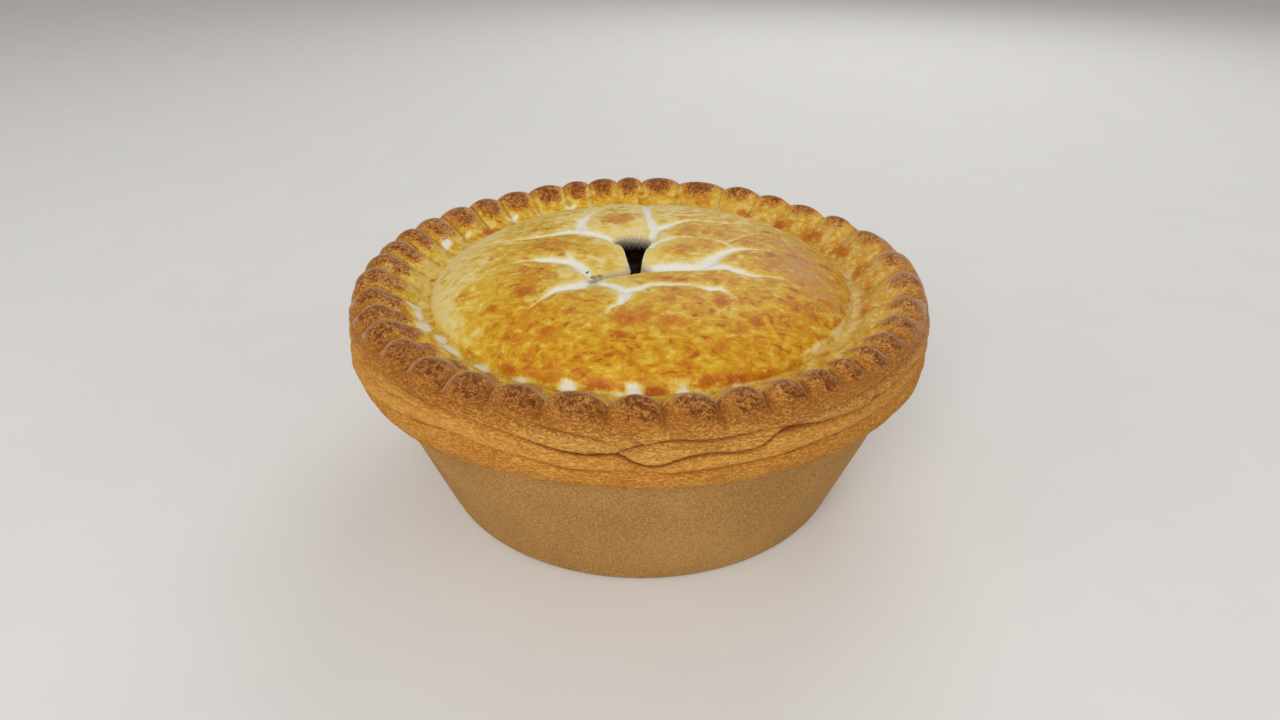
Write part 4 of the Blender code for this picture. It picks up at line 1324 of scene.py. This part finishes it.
class PieColours(bpy.types.PropertyGroup):
    """Linear colours of the pastry and the gravy."""

    floury: colour_property("Floury", "Unglazed dough in the valleys", (0.79, 0.76, 0.65))
    pale: colour_property("Pale", "Lightly baked glaze", (0.73, 0.55, 0.14))
    gold: colour_property("Gold", "Golden glaze", (0.645, 0.38, 0.024))
    amber: colour_property("Amber", "Well baked glaze", (0.56, 0.25, 0.010))
    toasted: colour_property("Toasted", "Orange-brown round the spots", (0.55, 0.21, 0.012))
    scorched: colour_property("Scorched", "Red-brown spots", (0.43, 0.105, 0.009))
    tan: colour_property("Tan", "Dull haze at the lid's right and in the trough", (0.52, 0.25, 0.08))
    # Also the painted shade in the notches between the crimps.
    crimp_dark: colour_property("Crimp Dark", "Darkest mottle on the crimps, and painted shade in their notches", (0.20, 0.048, 0.006))
    crimp_light: colour_property("Crimp Light", "Middle brown of the crimps", (0.45, 0.17, 0.030))
    fold_light: colour_property("Fold Light", "Light grain of the folded side", (0.67, 0.33, 0.064))
    fold_dark: colour_property("Fold Dark", "Dark grain of the folded side", (0.40, 0.13, 0.012))
    # Painted shade in the creases, nicks and wrinkles.
    crease: colour_property("Crease", "Painted shade in the creases, nicks and wrinkles of the folds", (0.21, 0.042, 0.009))
    rust: colour_property("Rust", "Red patches of the folded side", (0.30, 0.07, 0.016))
    base_light: colour_property("Base Light", "Light grains of the case", (0.50, 0.28, 0.09))
    base_dark: colour_property("Base Dark", "Dark grains of the case", (0.28, 0.135, 0.032))
    # A painted sheen, not a colour of the pastry.
    bloom: colour_property("Crown Sheen", "Painted pale sheen on the crimps' crowns", (0.82, 0.58, 0.40))
    vein: colour_property("Vein", "Thin light lines on the crimps", (0.70, 0.40, 0.13))
    # Painted shade at the top of the tear's walls.
    soaked: colour_property("Shallow Shade", "Painted shade at the top of the tear's walls", (0.42, 0.35, 0.22))
    # Also the painted shade down the tear's walls.
    stained: colour_property("Fleck And Tear Shade", "Burnt flecks, and painted shade down the tear's walls", (0.12, 0.10, 0.065))
    gravy_light: colour_property("Gravy Light", "Thin gravy", (0.06, 0.03, 0.01))
    # Also the painted shade deepest in the tear.
    gravy_dark: colour_property("Gravy And Deep Shade", "Thick gravy, and the painted shade deepest in the tear", (0.012, 0.006, 0.003))


class PieSizes(bpy.types.PropertyGroup):
    """Sizes of the lid's relief."""

    crimp_relief: length_property("Crimp Relief", "From a crimp's notch to its top", 2.8 * MM)
    valley_depth: length_property("Valley Depth", "Of a valley one millimetre wide", 0.8 * MM)


class StudioSettings(bpy.types.PropertyGroup):
    """The camera's place and the lights."""

    lens: bpy.props.FloatProperty(
        name="Lens", description="Focal length in millimetres on a 36 mm sensor", default=24.44
    )
    pitch: bpy.props.FloatProperty(
        name="Pitch", description="How far the camera looks down", subtype="ANGLE",
        default=math.radians(29.05),
    )
    eye: bpy.props.FloatVectorProperty(
        name="Eye", description="The camera's place", subtype="TRANSLATION", size=3,
        default=(STAND[0], -0.1703 + STAND[1], 0.1188),
    )
    key_power: power_property("Key Power", "Power of the large soft light", 5.3)
    back_power: power_property("Back Power", "Power of the light behind", 1.6)
    side_power: power_property("Side Power", "Power of the light at each side", 0.85)
    sky: bpy.props.FloatProperty(
        name="Sky", description="Strength of the plain surrounding light", default=0.38
    )


# ---------------------------------------------------------------- operators


def shared_groups():
    """The node groups, built at the first call."""
    makers = {"Bake colours": bake_group, "Oven mottle": mottle_group, "Folded edge": fold_group}
    return {title: bpy.data.node_groups.get(title) or maker() for title, maker in makers.items()}


class PIE_OT_add_lid(bpy.types.Operator):
    """Add the glazed lid with its crimped rim and its tear"""

    bl_idname = "pie.add_lid"
    bl_label = "Add Lid"

    def execute(self, context):
        paint = socket_colours(context.scene.pie_colours)
        lid = build_lid(lid_material(shared_groups(), paint))
        cut(lid, vent_cutter())
        mark_tear_shade_and_flecks(lid)
        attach(lid, "root")
        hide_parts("lid")
        return {"FINISHED"}


class PIE_OT_add_case(bpy.types.Operator):
    """Add the pastry case with its folded rim"""

    bl_idname = "pie.add_case"
    bl_label = "Add Case"

    def execute(self, context):
        paint = socket_colours(context.scene.pie_colours)
        case = build_case(case_material(shared_groups(), paint))
        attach(case, "root")
        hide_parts("pastry_case")
        return {"FINISHED"}


class PIE_OT_add_gravy(bpy.types.Operator):
    """Add the filling that shows through the tear"""

    bl_idname = "pie.add_gravy"
    bl_label = "Add Gravy"

    def execute(self, context):
        gravy = build_gravy(gravy_material(socket_colours(context.scene.pie_colours)))
        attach(gravy, "root")
        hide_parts("filling")
        return {"FINISHED"}


def soft_light(name, power, size, place, aim):
    """A square area light at a place, turned to look at another."""
    light = bpy.data.lights.new(name, "AREA")
    light.energy = power
    light.size = size
    lamp = new_object(name, light)
    lamp.location = place
    away = np.array(place) - np.array(aim)
    turn = math.atan2(away[0], -away[1])
    lamp.rotation_euler = (math.atan2(math.hypot(away[0], away[1]), away[2]), 0.0, turn)


class PIE_OT_add_studio(bpy.types.Operator):
    """Add the pale floor, the soft lights and the camera"""

    bl_idname = "pie.add_studio"
    bl_label = "Add Studio"

    def execute(self, context):
        settings = context.scene.pie_studio
        mesh = bpy.data.meshes.new("floor")
        signs = ((-1.0, -1.0), (1.0, -1.0), (1.0, 1.0), (-1.0, 1.0))
        corners = [(x * FLOOR_HALF, y * FLOOR_HALF, 0.0) for x, y in signs]
        mesh.from_pydata(corners, [], [(0, 1, 2, 3)])
        floor = new_object("floor", mesh)
        material, w, shader = new_material("pale_floor", 0.9)
        grain = w.noise(w.places(), 40.0, 3.0, 0.6)
        w.feed(shader.inputs["Base Color"], w.mix(grain, *FLOOR_COLOURS))
        mesh.materials.append(material)
        for name, power, size, place, aim in LIGHTS:
            soft_light(name, getattr(settings, power), size, place, (0.0, 0.0, aim))
        world = bpy.data.worlds.new("soft_sky")
        world.use_nodes = True
        sky = world.node_tree.nodes["Background"]
        sky.inputs["Color"].default_value = SKY_COLOUR
        sky.inputs["Strength"].default_value = settings.sky
        context.scene.world = world
        camera = bpy.data.cameras.new("camera")
        camera.lens = settings.lens
        camera.sensor_width = SENSOR_WIDTH
        camera.shift_x = SIDE_SHIFT
        camera.clip_start = 0.01
        eye = new_object("camera", camera)
        eye.location = settings.eye
        eye.rotation_euler = (0.5 * math.pi - settings.pitch, 0.0, 0.0)
        context.scene.camera = eye
        context.scene.view_settings.view_transform = "Standard"
        return {"FINISHED"}


STEPS = ("add_lid", "add_case", "add_gravy", "add_studio")


class PIE_PT_panel(bpy.types.Panel):
    """Lists the steps that make the pie"""

    bl_idname = "PIE_PT_panel"
    bl_label = "Steak and Ale Pie"
    bl_space_type = "VIEW_3D"
    bl_region_type = "UI"
    bl_category = "Pie"

    def draw(self, context):
        for step in STEPS:
            self.layout.operator("pie." + step)
        for group, kind in SETTINGS.items():
            for name in kind.__annotations__:
                self.layout.prop(getattr(context.scene, group), name)


CLASSES = (
    PieColours, PieSizes, StudioSettings, PIE_OT_add_lid, PIE_OT_add_case, PIE_OT_add_gravy,
    PIE_OT_add_studio, PIE_PT_panel,
)
SETTINGS = {"pie_colours": PieColours, "pie_sizes": PieSizes, "pie_studio": StudioSettings}


def register():
    for item in CLASSES:
        bpy.utils.register_class(item)
    for name, group in SETTINGS.items():
        setattr(bpy.types.Scene, name, bpy.props.PointerProperty(type=group))


def unregister():
    for name in SETTINGS:
        delattr(bpy.types.Scene, name)
    for item in reversed(CLASSES):
        bpy.utils.unregister_class(item)


def main():
    register()
    for step in STEPS:
        getattr(bpy.ops.pie, step)()


if __name__ == "__main__":
    main()
